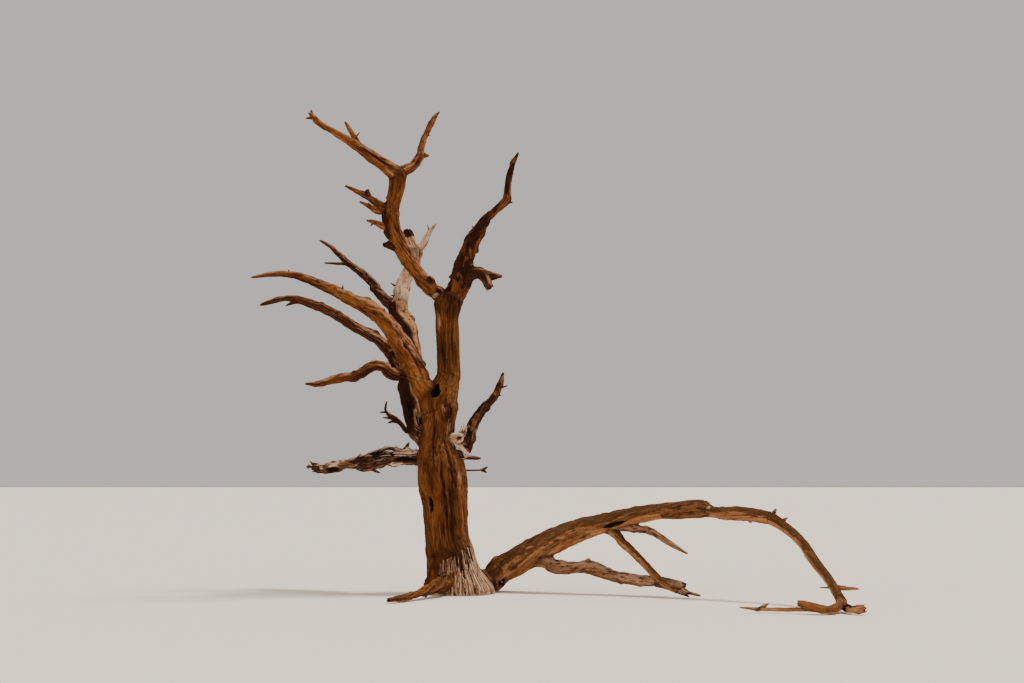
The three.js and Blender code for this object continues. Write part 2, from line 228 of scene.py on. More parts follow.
# The twigs that can be seen, in pieces that share a finish
SPURS = {
    "crown_twigs": ("golden_wood", {
        "crown_tip_up": Spur("crown_left_bough", 0.95, (-0.29, 0.05, 0.96), 0.1, 0.021),
        "crown_tip_down": Spur("crown_left_bough", 0.95, (-0.99, -0.05, -0.14), 0.09, 0.022),
        "crown_left_sprig": Spur("crown_left_bough", 0.4, (-0.35, -0.1, 0.93), 0.2, 0.016, (-0.1, 0, 0)),
        "crown_left_chip": Spur("crown_left_spur", 0.45, (0.6, -0.2, 0.77), 0.09, 0.012),
        "crown_right_elbow": Spur("crown_right_bough", 0.37, (0.97, -0.05, -0.11), 0.1, 0.034, tip=0.7),
        "crown_right_tip": Spur("crown_right_bough", 0.93, (0.68, 0.05, 0.74), 0.09, 0.016),
        "crown_right_chip": Spur("crown_right_bough", 0.62, (0.9, 0.1, 0.4), 0.07, 0.014),
        "left_stem_chip": Spur("front_left_stem", 0.62, (0.1, -0.2, 0.97), 0.11, 0.02),
        "left_stem_tip": Spur("front_left_stem", 0.84, (-0.5, -0.1, 0.86), 0.07, 0.014),
        "right_bough_chip": Spur("upper_right_bough", 0.47, (-0.8, -0.3, 0.5), 0.1, 0.018),
        "right_bough_knee": Spur("upper_right_bough", 0.7, (0.9, -0.2, -0.2), 0.08, 0.026, tip=0.6),
        "crown_scar": Spur("upper_left_bough", 0.93, (-0.85, -0.5, 0.2), 0.12, 0.026, tip=0.7),
    }),
    "snag_twigs": ("shaded_wood", {
        "right_stub_lip": Spur("right_stub", 0.3, (0.8, -0.35, 0.45), 0.16, 0.036, (0, 0, -0.1), 0.6),
        "knob": Spur("upper_left_bough", 0.5, (-0.97, -0.2, 0.06), 0.19, 0.06, tip=0.8, lumps=1.6),
        "snag_bump": Spur("upper_left_snag_high", 0.55, (0.1, -0.3, 0.95), 0.075, 0.045, tip=0.85),
        "snag_thorn": Spur("upper_left_snag_middle", 0.6, (-0.5, -0.5, 0.7), 0.09, 0.014),
        "snag_hook": Spur("upper_left_snag_low", 0.75, (-0.6, -0.2, -0.75), 0.07, 0.014),
        "rear_side_twig": Spur("rear_left_bough", 0.64, (-0.98, -0.15, -0.02), 0.31, 0.026, (0, 0, 0.03)),
        "rear_side_thorn": Spur("rear_left_bough", 0.4, (-0.3, -0.4, 0.86), 0.1, 0.015),
        "under_spur": Spur("lower_left_bough", 0.77, (-0.94, -0.1, -0.34), 0.19, 0.034, (0, 0, -0.05), 0.3),
        "under_thorn": Spur("lower_left_bough", 0.52, (-0.4, -0.3, 0.86), 0.1, 0.016),
        "twig_thorn": Spur("left_twig", 0.8, (-0.95, -0.1, -0.05), 0.085, 0.015),
        "twig_prong": Spur("left_twig", 0.58, (-0.93, -0.1, -0.35), 0.11, 0.02),
        "twig_prong_high": Spur("left_twig", 0.63, (-0.98, 0.1, 0.1), 0.13, 0.02),
        "limb_thorn": Spur("right_limb", 0.86, (0.97, -0.1, 0.15), 0.11, 0.016, (0, 0, 0.1)),
        "limb_thorn_low": Spur("right_limb", 0.79, (0.98, -0.1, -0.1), 0.08, 0.014),
        "limb_thorn_high": Spur("right_limb", 0.93, (0.3, 0.1, 0.95), 0.1, 0.012),
        "limb_foot_spur": Spur("right_limb", 0.38, (-0.7, -0.35, 0.62), 0.15, 0.026),
        "rear_foot_twig": Spur("rear_pale_bough", 0.3, (-0.86, -0.2, 0.5), 0.15, 0.022),
        "fork_left_chip": knob("pale_fork_left", 0.78, (-0.55, -0.2, 0.81), 0.11, 0.05, tip=0.7, lumps=1.6),
        "rear_foot_twig_low": Spur("rear_pale_bough", 0.15, (-0.9, -0.3, 0.2), 0.14, 0.02),
    }),
    "trunk_twigs": ("trunk_wood", {
        "trunk_stub": Spur("trunk", 0.445, (0.99, 0.11, 0.02), 0.49, 0.032, (0, 0, -0.06), 0.75),
        "trunk_thread": Spur("trunk", 0.4, (1.0, 0.02, 0.0), 0.52, 0.01, (0, 0, 0.01), 1.1),
        "thread_end_up": Spur("trunk_thread", 0.95, (0.85, -0.1, 0.5), 0.075, 0.018, tip=0.6),
        "thread_end_down": Spur("trunk_thread", 0.95, (0.88, 0.1, -0.45), 0.065, 0.018, tip=0.6),
    }),
    "bone_knots": ("bone_wood", {
        "bone_ridge": knob("trunk", 0.55, (0.62, -0.26, -0.74), 0.53, 0.064, tip=0.75, lumps=1.3),
        "bone_ring": knob("trunk", 0.495, (0.87, -0.48, 0.16), 0.355, 0.064, tip=0.9, lumps=1.1),
        "bone_knob": knob("bone_ring", 0.9, (0.3, 0.5, 0.85), 0.17, 0.045, tip=0.7, lumps=1.6),
        "bone_chip": knob("low_bough", 0.1, (0.33, -0.9, -0.2), 0.175, 0.028, lumps=1.2),
        "bone_chip_right": knob("low_bough", 0.11, (0.45, -0.8, -0.4), 0.175, 0.024, lumps=1.2),
        "log_chip": knob("crest_log", 0.95, (0.45, -0.85, 0.1), 0.15, 0.034, lumps=1.4),
        "scar": knob("upper_left_bough", 0.1, (-0.5, -0.86, -0.05), 0.125, 0.056, lumps=0.8),
    }),
    "pale_spurs": ("bleached_wood", {
        "fork_right_chip": Spur("pale_fork_right", 0.87, (0.68, -0.1, 0.72), 0.1, 0.02),
        "fork_right_thorn": Spur("pale_fork_right", 0.74, (-0.25, -0.1, 0.96), 0.1, 0.018),
    }),
    "left_spurs": ("flaking_wood", {
        "left_end_stub": Spur("low_left_bough", 0.96, (-0.92, 0.2, 0.1), 0.15, 0.042, tip=0.5),
        "left_end_lip": Spur("low_left_bough", 0.97, (-0.69, -0.2, 0.7), 0.12, 0.026),
        "left_under_stub": Spur("low_left_bough", 0.62, (0.72, -0.3, -0.62), 0.24, 0.03, (0.2, 0, 0.1)),
        "left_fin": Spur("low_left_bough", 0.3, (0.45, -0.15, 0.88), 0.2, 0.044, tip=0.3),
        "left_flap": Spur("low_left_bough", 0.55, (-0.85, -0.3, -0.45), 0.26, 0.05, (0, 0, 0.1), 0.4),
        "left_flap_low": Spur("low_left_bough", 0.35, (-0.88, -0.35, -0.35), 0.28, 0.05, (0, 0, 0.1), 0.4),
    }),
    "low_twigs": ("low_bough_wood", {
        "crest_flap": Spur("low_bough", 0.67, (0.55, -0.2, -0.81), 0.12, 0.036, tip=0.4),
        "crest_spur": Spur("low_bough", 0.73, (0.45, -0.1, 0.88), 0.115, 0.032, tip=0.6, lumps=1.6),
        "fall_spur": Spur("low_bough", 0.75, (0.83, -0.1, 0.55), 0.11, 0.026, tip=0.6, lumps=1.4),
        "crest_log": Spur("low_bough", 0.47, (0.9, -0.44, 0.08), 0.65, 0.072, tip=1.45, end="snapped"),
        "fall_side_twig": Spur("low_bough", 0.95, (0.98, 0.15, -0.06), 0.28, 0.03, tip=0.45),
        "fall_back_twig": Spur("low_bough", 0.95, (-0.97, 0.2, 0.0), 0.15, 0.014),
        "toe_long_twig": Spur("toe_left", 0.5, (-0.97, 0.23, -0.02), 0.76, 0.024, tip=0.8),
        "toe_cross_twig": Spur("toe_long_twig", 0.97, (-0.99, 0.0, 0.11), 0.2, 0.02),
        "toe_cross_end": Spur("toe_long_twig", 0.97, (0.85, 0.2, 0.45), 0.12, 0.022, tip=0.7),
        "bough_knob": knob("low_bough", 0.13, (-0.6, -0.35, 0.72), 0.19, 0.06, tip=0.8, lumps=1.6),
        "bough_knob_low": knob("low_bough", 0.16, (-0.35, -0.55, 0.76), 0.175, 0.046, tip=0.8),
    }),
    "prop_twigs": ("prop_wood", {
        "prop_knob": knob("low_bough_thick_prop", 0.37, (0.35, -0.35, 0.87), 0.12, 0.036, tip=0.75),
        "prop_end": Spur(
            "low_bough_thick_prop", 0.8, (0.81, -0.57, -0.15), 0.36, 0.055, tip=1.1, end="hollow"
        ),
        "prop_twig": Spur("low_bough_thin_prop", 0.93, (0.96, -0.14, -0.24), 0.35, 0.022, tip=0.7),
    }),
}

SPUR_OF = {name: spur for _, spurs in SPURS.values() for name, spur in spurs.items()}


# Small helpers on arrays of points

TINY = 1e-9
CORNERS = np.array(list(product((0, 1), repeat=3)))

# What turns a cell of the noise's lattice into its own scrambled number
CELL_FACTORS = np.array((374761393, 668265263, 1440662683))
SEED_FACTOR = 69069
MIXING_FACTOR = 1274126177
LOW_BITS = 2**32 - 1
NOISE_GAIN = 1.5

# What is added to a limb's seed, or to its place in a pattern, so that no two patterns agree
MARK_SEEDS = 50
SPLINTER_SEEDS = (31, 32)
SUN_SEED = 77
END_SHIFT = 1.7
GRAIN_SHIFT = 3.7


def unit(ways):
    """The same ways, each one long."""
    return ways / np.maximum(np.linalg.norm(ways, axis=-1, keepdims=True), TINY)


def eased(low, high, value):
    """0 below low, 1 above high, and a smooth step between."""
    t = np.clip((value - low) / (high - low), 0.0, 1.0)
    return t * t * (3.0 - 2.0 * t)


def evened(line, rounds):
    """The values along a line, each one evened out with its neighbours."""
    for _ in range(rounds):
        line = np.concatenate((line[:1], (line[:-2] + 2 * line[1:-1] + line[2:]) / 4, line[-1:]))
    return line


def scrambled(cells, seed):
    """A number from -1 to 1 for each cell of a lattice, the same on every run."""
    mixed = cells @ CELL_FACTORS + seed * SEED_FACTOR
    mixed = (mixed ^ (mixed >> 13)) & LOW_BITS
    mixed = (mixed * MIXING_FACTOR) & LOW_BITS
    mixed = mixed ^ (mixed >> 16)
    return mixed / 2**31 - 1.0


def noise(points, seed):
    """Smooth noise from about -1 to 1 at each point."""
    cells = np.floor(points).astype(np.int64)
    inside = points - cells
    fade = inside**3 * (inside * (inside * 6 - 15) + 10)
    total = np.zeros(len(points))
    for corner in CORNERS:
        away = inside - corner
        slope = sum(scrambled(cells + corner, seed * 3 + axis) * away[:, axis] for axis in range(3))
        total += slope * np.prod(np.where(corner, fade, 1 - fade), axis=1)
    return total * NOISE_GAIN


def flowing_line(knots, step):
    """Points about every `step` along a smooth curve through the knots."""
    knots = np.asarray(knots, float)
    padded = np.vstack((2 * knots[0] - knots[1], knots, 2 * knots[-1] - knots[-2]))
    pieces = []
    for before, start, end, after in zip(padded, padded[1:], padded[2:], padded[3:]):
        count = max(2, int(round(np.linalg.norm(end - start) / step)))
        t = np.arange(count)[:, None] / count
        pieces.append(
            0.5 * (2 * start + (end - before) * t + (2 * before - 5 * start + 4 * end - after) * t**2
                   + (3 * start - before - 3 * end + after) * t**3)
        )
    return np.vstack([*pieces, knots[-1:]])


class Course:
    """A limb's middle line, the frame that it carries along, and its radius all round."""

    def __init__(self, knots, knot_radii, tree=None, top=0.0, domed=False):
        self.points = flowing_line(knots, COURSE_STEP)
        steps = np.linalg.norm(np.diff(self.points, axis=0), axis=1)
        self.along = np.concatenate(([0.0], np.cumsum(steps)))
        self.length = self.along[-1]
        self.ahead = unit(np.gradient(self.points, axis=0))
        self.side = self.carried_side()
        self.over = np.cross(self.ahead, self.side)
        nearest = [np.argmin(((self.points - knot) ** 2).sum(1)) for knot in knots]
        self.mean = evened(np.interp(self.along, self.along[nearest], knot_radii), COURSE_ROUNDS)
        if domed:
            end = FORK_TAPER * self.mean[-1]
            self.mean = self.mean * (1 - FORK_NARROWING * eased(self.length - end, self.length, self.along))
        self.table = self.mean[:, None]
        if tree is not None:
            self.table = self.measured_round(tree, top)
            self.mean = self.table.mean(axis=1)
        self.dome = self.mean[-1] if domed else 0.0

    def carried_side(self):
        """A way across the limb at each point, carried along without turning about the limb."""
        side = np.cross(self.ahead[0], (0.0, -1.0, 0.001))
        if np.linalg.norm(side) < 0.2:
            side = np.cross(self.ahead[0], (1.0, 0.0, 0.0))
        sides = []
        for way in self.ahead:
            side = side - way * side.dot(way)
            side = side / np.linalg.norm(side)
            sides.append(side)
        return np.array(sides)

    def measured_round(self, tree, top):
        """The radius at each point of the course, in each of many ways round it."""
        table = np.zeros((len(self.points), TRUNK_RAYS))
        measured = self.points[:, 2] < top
        for column in range(TRUNK_RAYS):
            angle = 2 * math.pi * column / TRUNK_RAYS
            ways = self.side * math.cos(angle) + self.over * math.sin(angle)
            for row in np.flatnonzero(measured):
                point, way = self.points[row], ways[row]
                start = Vector((point[0], point[1], max(point[2], GROUND_MARGIN)))
                hit = tree.ray_cast(start, Vector(way))
                table[row, column] = hit[3] if hit[0] is not None else np.nan
        for row in table[measured]:
            row[np.isnan(row)] = np.nanmean(row)
        table[~measured] = self.mean[~measured, None]
        for _ in range(TRUNK_ROUNDS[0]):
            table = (np.roll(table, 1, axis=1) + 2 * table + np.roll(table, -1, axis=1)) / 4
        return evened(table, TRUNK_ROUNDS[1])

    def radius_at(self, along, angle):
        """The radius at distances along the limb and angles round it."""
        row = np.interp(along, self.along, np.arange(len(self.along)))
        low = np.minimum(row.astype(int), len(self.along) - 2)
        share = row - low
        columns = self.table.shape[1]
        turn = (angle / (2 * math.pi)) % 1.0 * columns
        left = turn.astype(int) % columns
        right = (left + 1) % columns
        across = turn - np.floor(turn)
        near = self.table[low, left] * (1 - across) + self.table[low, right] * across
        far = self.table[low + 1, left] * (1 - across) + self.table[low + 1, right] * across
        return near * (1 - share) + far * share

    def foot_radius(self):
        """The radius where the limb comes out of its parent."""
        return self.mean[min(len(self.mean) - 1, FOOT_POINT)]

    def reach(self, margin):
        """Two corners of a box round the limb."""
        wide = self.table.max() + margin
        return self.points.min(axis=0) - wide, self.points.max(axis=0) + wide

    def at(self, along, values):
        """Values kept at the course's points, at distances along it."""
        return np.column_stack([np.interp(along, self.along, values[:, k]) for k in range(values.shape[1])])

    def nearest(self, points):
        """How far along the course each point is, its angle round it, and the span out to it."""
        chosen = np.empty(len(points), int)
        size = (self.points**2).sum(1)
        for start in range(0, len(points), BATCH):
            some = points[start:start + BATCH]
            chosen[start:start + BATCH] = np.argmin(size - 2 * some @ self.points.T, axis=1)
        offset = points - self.points[chosen]
        slip = np.clip((offset * self.ahead[chosen]).sum(1), -COURSE_STEP, COURSE_STEP)
        along = np.clip(self.along[chosen] + slip, 0.0, self.length - self.dome)
        out = points - self.at(along, self.points)
        angle = np.arctan2((out * self.over[chosen]).sum(1), (out * self.side[chosen]).sum(1))
        return along, angle, out

    def outside(self, points):
        """How far each point is outside the limb's round."""
        along, angle, out = self.nearest(points)
        return np.linalg.norm(out, axis=1) - self.radius_at(along, angle)


# Measuring the limbs


def cut_across(verts, pairs, point, way, within):
    """The middle and the radius of a flat cut across a solid, or None where it has ended."""
    heights = (verts - point) @ way
    low, high = heights[pairs[:, 0]], heights[pairs[:, 1]]
    crossing = low * high < 0
    share = (low[crossing] / (low[crossing] - high[crossing]))[:, None]
    cut = verts[pairs[crossing, 0]] * (1 - share) + verts[pairs[crossing, 1]] * share
    cut = cut[np.linalg.norm(cut - point, axis=1) < within]
    if len(cut) < FEWEST_CROSSED:
        return None
    middle = cut.mean(axis=0)
    return middle, np.linalg.norm(cut - middle, axis=1).mean()


def followed(cut, point, way, radius, parent=None):
    """The middles and radii along a solid, cut after cut, until it ends or meets its parent."""
    middles, radii = [], []
    slimmest, widest = THICKNESS_CHANGE
    while len(middles) < MOST_CUTS:
        found = cut(point, way, CUT_REACH * radius)
        if found is None:
            break
        middle, wide = found
        if parent is not None and parent.outside(middle[None])[0] < CLEAR_OF_PARENT * wide:
            break
        if middles:
            if np.linalg.norm(middle - point) > MOST_DRIFT * radius:
                break
            if not slimmest < wide / radius < widest:
                break
            way = unit(way + CUT_TURN * unit(middle - middles[-1]))
        middles.append(middle)
        radii.append(wide)
        point, radius = middle + way * CUT_GAP * wide, wide
    return middles, radii


def measured_node(name, parent):
    """The middles and radii along one node's solid, from where it stands clear of its parent."""
    bm = bmesh.new()
    bm.from_mesh(frame["nodes"][name].data)
    bmesh.ops.remove_doubles(bm, verts=bm.verts, dist=WELD)
    bm.verts.index_update()
    verts = np.array([v.co for v in bm.verts])
    pairs = np.array([(e.verts[0].index, e.verts[1].index) for e in bm.edges])
    tree = BVHTree.FromBMesh(bm)
    bm.free()
    gap = verts[:, 2] if parent is None else parent.outside(verts)
    base = verts[gap <= np.partition(gap, BASE_CORNERS)[BASE_CORNERS]].mean(axis=0)
    tip = verts[np.argmax(((verts - base) ** 2).sum(1))]
    way = unit(tip - base)
    heights = (verts - base) @ way
    level = START_SHARE * heights.max()
    point = verts[np.argsort(np.abs(heights - level))[:START_CORNERS]].mean(axis=0)
    cut = partial(cut_across, verts, pairs)
    for _ in range(START_ROUNDS):
        before = cut(point - way * START_GAP, way, START_REACH)
        after = cut(point + way * START_GAP, way, START_REACH)
        way = unit(way + unit(after[0] - before[0]))
        point = (before[0] + after[0]) / 2
    radius = (before[1] + after[1]) / 2
    back, back_radii = followed(cut, point, -way, radius, parent)
    forth, forth_radii = followed(cut, point, way, radius)
    middles = np.array(back[:0:-1] + forth)
    radii = np.array(back_radii[:0:-1] + forth_radii)
    if len(middles) < 3:
        return base + np.outer(SHORT_LIMB, tip - base), np.full(len(SHORT_LIMB), radius), tree
    middles = np.column_stack([evened(middles[:, axis], 1) for axis in range(3)])
    way = unit(middles[-1] - middles[-2])
    hit = tree.ray_cast(Vector(middles[-1]), Vector(way))
    if hit[0] is not None and hit[3] < START_REACH:
        middles, radii = np.vstack((middles, np.array(hit[0]))), np.append(radii, radii[-1])
    return middles, radii, tree


def led_in(start, first, way):
    """Points from where a limb leaves its parent's course, bending into the way that it grows."""
    span = first - start
    reach = np.linalg.norm(span)
    t = np.linspace(0.0, 1.0, max(3, int(reach / LEAD_GAP)), endpoint=False)[:, None]
    line = start + span * (3 * t**2 - 2 * t**3) + span * (t**3 - 2 * t**2 + t)
    return line + way * reach * (t**3 - t**2)


def spur_course(spur):
    """The course of a twig, from the middle of its parent to its end."""
    parent = course_of(spur.parent)
    start = parent.at(np.array([spur.leaves * parent.length]), parent.points)
    t = np.linspace(0.0, 1.0, SPUR_KNOTS)[:, None]
    knots = start + spur.length * (unit(np.array(spur.way)) * t + np.array(spur.bend) * t**2)
    return Course(knots, spur.thick * (1 - (1 - spur.tip) * t[:, 0]))


COURSES = {}


def trunk_course(limb):
    """The course of the trunk, from the ground, and of the stem that it grows into."""
    middles, radii, tree = measured_node(limb.nodes[0], None)
    height = middles[:, 2]
    top = height.max() - TOP_MARGIN
    straight = (height > FLARE_HEIGHT) & (height < top)
    middles, radii = middles[straight], radii[straight]
    upper, upper_radii, _ = measured_node(limb.nodes[1], Course(middles, radii))
    knots = np.vstack((middles[0] * (1, 1, 0), middles, upper))
    return Course(knots, np.concatenate((radii[:1], radii, upper_radii)), tree, top, domed=True)


def limb_course(name, limb):
    """The course of a limb, from the middle of its parent to its end."""
    parent = before = course_of(limb.parent)
    middles, radii = [], []
    for solid in limb.nodes or (name,):
        found, sizes, _ = measured_node(solid, before)
        middles.append(found)
        radii.append(sizes)
        before = Course(found, sizes)
    middles, radii = np.vstack(middles), np.concatenate(radii)
    start = parent.at(np.array([limb.leaves * parent.length]), parent.points)[0]
    lead = led_in(start, middles[0], unit(middles[2] - middles[0]))
    sizes = np.concatenate((np.full(len(lead), radii[0]), radii))
    return Course(np.vstack((lead, middles)), sizes, domed=limb.end == "fork")


def course_of(name):
    """A limb's course, measured the first time that it is asked for."""
    if name not in COURSES:
        if name in SPUR_OF:
            COURSES[name] = spur_course(SPUR_OF[name])
        elif LIMBS[name].parent:
            COURSES[name] = limb_course(name, LIMBS[name])
        else:
            COURSES[name] = trunk_course(LIMBS[name])
    return COURSES[name]


# How the wood's surface is shaped


@dataclass(frozen=True)
class Mark:
    """A knot, scar or hole: where it is along a limb, the way it faces, and its half sizes."""

    at: float  # from 0 at the limb's foot to 1 at its end
    facing: tuple
    long: float
    wide: float
    depth: float  # into the wood, or out of it where it is below 0
    look: str = "hollow"  # or pale, bark or plain
    strength: float = 1.0


HOLE_FIRM = 0.75  # out to this share of its half sizes a hole keeps its full depth
PATCH_FIRM = 0.5  # and a patch its full strength
HOLE_RIM = 1.2  # how far the painted shade of a hole reaches, so that its walls are painted dark as well
MARK_RAGGEDNESS = 0.4  # the size of the dents in a mark's edge, in its half sizes

MARKS = {
    "trunk": (
        Mark(0.294, (-0.57, -0.82, 0.0), 0.088, 0.028, 0.07),  # the slot in the left of the trunk
        Mark(0.28, (0.2, -0.98, 0.0), 1.0, 0.12, 0.0, "bark", 0.22),
        Mark(0.33, (0.1, -1.0, 0.0), 0.62, 0.032, 0.014, "bark", 0.7),  # the dark furrow down its front
        Mark(0.24, (0.32, -0.95, 0.0), 0.45, 0.03, 0.01, "bark", 0.6),
        Mark(0.42, (0.45, -0.89, 0.0), 0.4, 0.022, 0.008, "bark", 0.6),
        Mark(0.5, (-0.25, -0.97, 0.0), 0.45, 0.02, 0.007, "bark", 0.5),
        Mark(0.07, (0.45, -0.89, 0.0), 0.36, 0.5, 0.006, "bark", 0.6),  # darker under the loose strands: painted shade in the gaps between them
        Mark(0.6, (0.32, -0.95, 0.0), 0.075, 0.04, 0.006, "pale", 0.5),
        Mark(0.544, (0.62, -0.78, 0.0), 0.1, 0.04, 0.006, "pale", 0.45),
        Mark(0.505, (0.72, -0.7, 0.0), 0.05, 0.022, 0.004, "pale"),
        Mark(0.36, (0.76, -0.65, 0.0), 0.16, 0.035, 0.003, "pale", 0.6),
        Mark(0.644, (-0.31, -0.93, 0.2), 0.062, 0.056, 0.08),  # the hole in the crotch
        Mark(0.664, (-0.45, -0.89, 0.2), 0.045, 0.03, 0.06),
        Mark(0.8, (-0.3, -0.95, 0.0), 0.4, 0.018, 0.007, "bark", 0.3),
        Mark(0.83, (0.4, -0.9, 0.0), 0.3, 0.016, 0.007, "bark", 0.6),
        Mark(0.9, (-0.75, -0.65, 0.0), 0.12, 0.05, 0.01, "pale", 0.6),
    ),
    "bone_ring": (Mark(0.91, (0.1, -0.97, -0.15), 0.032, 0.028, 0.05),),
    "bone_ridge": (
        Mark(0.86, (-0.75, -0.62, -0.2), 0.06, 0.042, 0.05),
        Mark(0.62, (-0.45, -0.85, -0.2), 0.04, 0.014, 0.02),
    ),
    "crown_left_bough": (
        Mark(0.24, (-0.2, -0.95, 0.25), 0.3, 0.014, 0.014, "bark", 0.9),
        Mark(0.1, (-0.05, -0.8, -0.6), 0.08, 0.03, 0.003, "pale"),
    ),
    "crown_right_bough": (Mark(0.13, (0.09, -0.96, 0.26), 0.09, 0.026, 0.003, "pale"),),
    "lower_left_bough": (Mark(0.32, (0.17, -0.82, 0.55), 0.25, 0.028, 0.0, "pale", 0.6),),
    "right_stub_end": (
        Mark(0.55, (0.55, -0.8, 0.2), 0.06, 0.018, -0.006, "pale"),
        Mark(0.3, (-0.2, -0.95, 0.0), 0.05, 0.03, 0.004, "bark"),
    ),
    "front_left_stem": (
        Mark(0.56, (0.35, -0.9, 0.24), 0.06, 0.022, -0.004, "pale"),
        Mark(0.31, (0.36, -0.93, 0.0), 0.05, 0.022, -0.008, "pale"),  # the torn lip
        Mark(0.285, (0.4, -0.91, 0.0), 0.05, 0.03, 0.008, "bark"),
        Mark(0.115, (0.8, -0.4, 0.45), 0.22, 0.12, -0.035, "plain"),
        Mark(0.59, (0.44, -0.82, 0.48), 0.07, 0.05, -0.014, "plain"),
        Mark(0.25, (0.3, -0.9, 0.3), 0.35, 0.025, 0.008, "bark", 0.6),
    ),
    "upper_left_bough": (
        Mark(0.121, (0.4, -0.92, 0.02), 0.05, 0.045, 0.008, "bark"),
        Mark(0.121, (0.4, -0.92, 0.02), 0.022, 0.022, 0.04),
        Mark(0.21, (0.48, -0.8, 0.35), 0.042, 0.03, -0.012, "bark"),
        Mark(0.66, (-0.85, -0.5, 0.0), 0.25, 0.09, -0.03, "bark", 0.8),
        Mark(0.73, (-0.47, -0.88, -0.1), 0.1, 0.013, 0.004, "pale", 0.8),
    ),
    "rear_stem": (
        Mark(0.235, (0.7, -0.65, 0.3), 0.04, 0.03, 0.05),
        # The pale patches down its right, which faces the light: partly pale wood, partly painted light
        Mark(0.33, (0.8, -0.52, 0.3), 0.3, 0.085, -0.006, "pale", 0.75),
        Mark(0.45, (0.8, -0.52, 0.3), 0.22, 0.07, -0.006, "pale", 0.75),
        Mark(0.84, (0.6, -0.72, 0.37), 0.42, 0.11, -0.006, "pale", 0.5),
        Mark(0.95, (0.4, -0.9, 0.1), 0.16, 0.16, 0.0, "pale", 0.5),
        Mark(0.132, (-0.33, -0.92, 0.2), 0.035, 0.02, -0.004, "pale"),
        # The dark down its left, away from the light: partly dark bark, partly painted shade
        Mark(0.76, (-0.52, -0.85, 0.1), 0.7, 0.17, 0.006, "bark"),
        Mark(0.36, (-0.6, -0.8, 0.1), 0.5, 0.16, 0.006, "bark"),
        Mark(0.1, (-0.2, -0.9, 0.3), 0.14, 0.16, 0.004, "bark"),
    ),
    "pale_fork_left": (Mark(0.92, (-0.14, -0.98, 0.11), 0.08, 0.16, -0.01, "bark"),),
    "upper_right_bough": (
        Mark(0.23, (0.26, -0.92, -0.28), 0.12, 0.06, 0.02, "bark"),
        Mark(0.26, (-0.5, -0.85, -0.17), 0.2, 0.05, -0.006, "bark", 0.8),
        Mark(0.42, (-0.19, -0.95, -0.16), 0.22, 0.08, -0.014, "bark"),
        Mark(0.53, (-0.1, -0.95, -0.16), 0.1, 0.06, -0.01, "bark", 0.8),
        Mark(0.8, (-0.1, -0.95, -0.1), 0.2, 0.03, -0.004, "bark", 0.8),
    ),
    "low_left_bough": (
        # Dents along its underside, painted near-black: painted shade under the bough
        Mark(0.24, (0.0, -0.91, -0.42), 0.15, 0.042, 0.05),
        Mark(0.43, (0.0, -0.86, -0.5), 0.13, 0.045, 0.05),
        Mark(0.84, (0.0, -0.8, -0.6), 0.09, 0.045, 0.05),
        Mark(0.62, (0.0, -0.95, 0.3), 0.2, 0.06, 0.004, "bark", 0.8),
        Mark(0.22, (-0.2, -0.6, 0.77), 0.16, 0.05, -0.006, "pale"),
        Mark(0.4, (-0.2, -0.65, 0.75), 0.12, 0.06, -0.008, "pale"),
        Mark(0.34, (0.0, -0.6, -0.8), 0.14, 0.03, -0.006, "pale"),
        Mark(0.83, (-0.2, -0.8, 0.55), 0.11, 0.06, -0.01, "pale"),
        Mark(0.72, (0.0, -0.3, -0.95), 0.16, 0.16, 0.03, "plain"),
    ),
    "low_bough": (
        Mark(0.603, (0.0, -0.7, 0.7), 0.1, 0.4, 0.012, "plain"),  # the neck past the broken log
        Mark(0.11, (0.49, -0.74, -0.45), 0.05, 0.04, 0.05),
        Mark(0.13, (-0.46, -0.68, 0.55), 0.085, 0.06, -0.03, "plain"),
        Mark(0.39, (-0.13, -0.87, -0.41), 0.13, 0.028, 0.04),  # the slot behind the hook
    ),
    "mid_left_bough": (Mark(0.18, (0.5, -0.8, 0.33), 0.1, 0.035, -0.006, "pale"),),
}


def grain_space(along, angle, radius, long, wide):
    """Places on a limb's unrolled wood, in units of the pattern's length and width."""
    return np.column_stack((along / long, radius * np.cos(angle) / wide, radius * np.sin(angle) / wide))


def marked(marks, course, along, angle, radius, seed):
    """How far a limb's marks push its surface, and how hollow, pale and barky they make it."""
    push = np.zeros(len(along))
    looks = {look: np.zeros(len(along)) for look in ("hollow", "pale", "bark")}
    for number, mark in enumerate(marks):
        station = mark.at * course.length
        row = np.argmin(np.abs(course.along - station))
        turn = math.atan2(course.over[row].dot(mark.facing), course.side[row].dot(mark.facing))
        round_ = (angle - turn + math.pi) % (2 * math.pi) - math.pi
        shape = np.hypot((along - station) / mark.long, round_ * radius / mark.wide)
        dents = MARK_RAGGEDNESS * mark.long, MARK_RAGGEDNESS * mark.wide
        ragged = noise(grain_space(along, angle, radius, *dents), seed + MARK_SEEDS + number)
        hole = mark.look == "hollow"
        firm = HOLE_FIRM if hole else PATCH_FIRM
        edge = shape * (1 + (1 - firm) * ragged)
        push -= mark.depth * (1 - eased(firm, 1.0, edge))
        if mark.look in looks:
            seen = 1 - eased(firm, 1.0, edge / HOLE_RIM if hole else edge)
            looks[mark.look] = np.maximum(looks[mark.look], mark.strength * seen)
    return push, looks


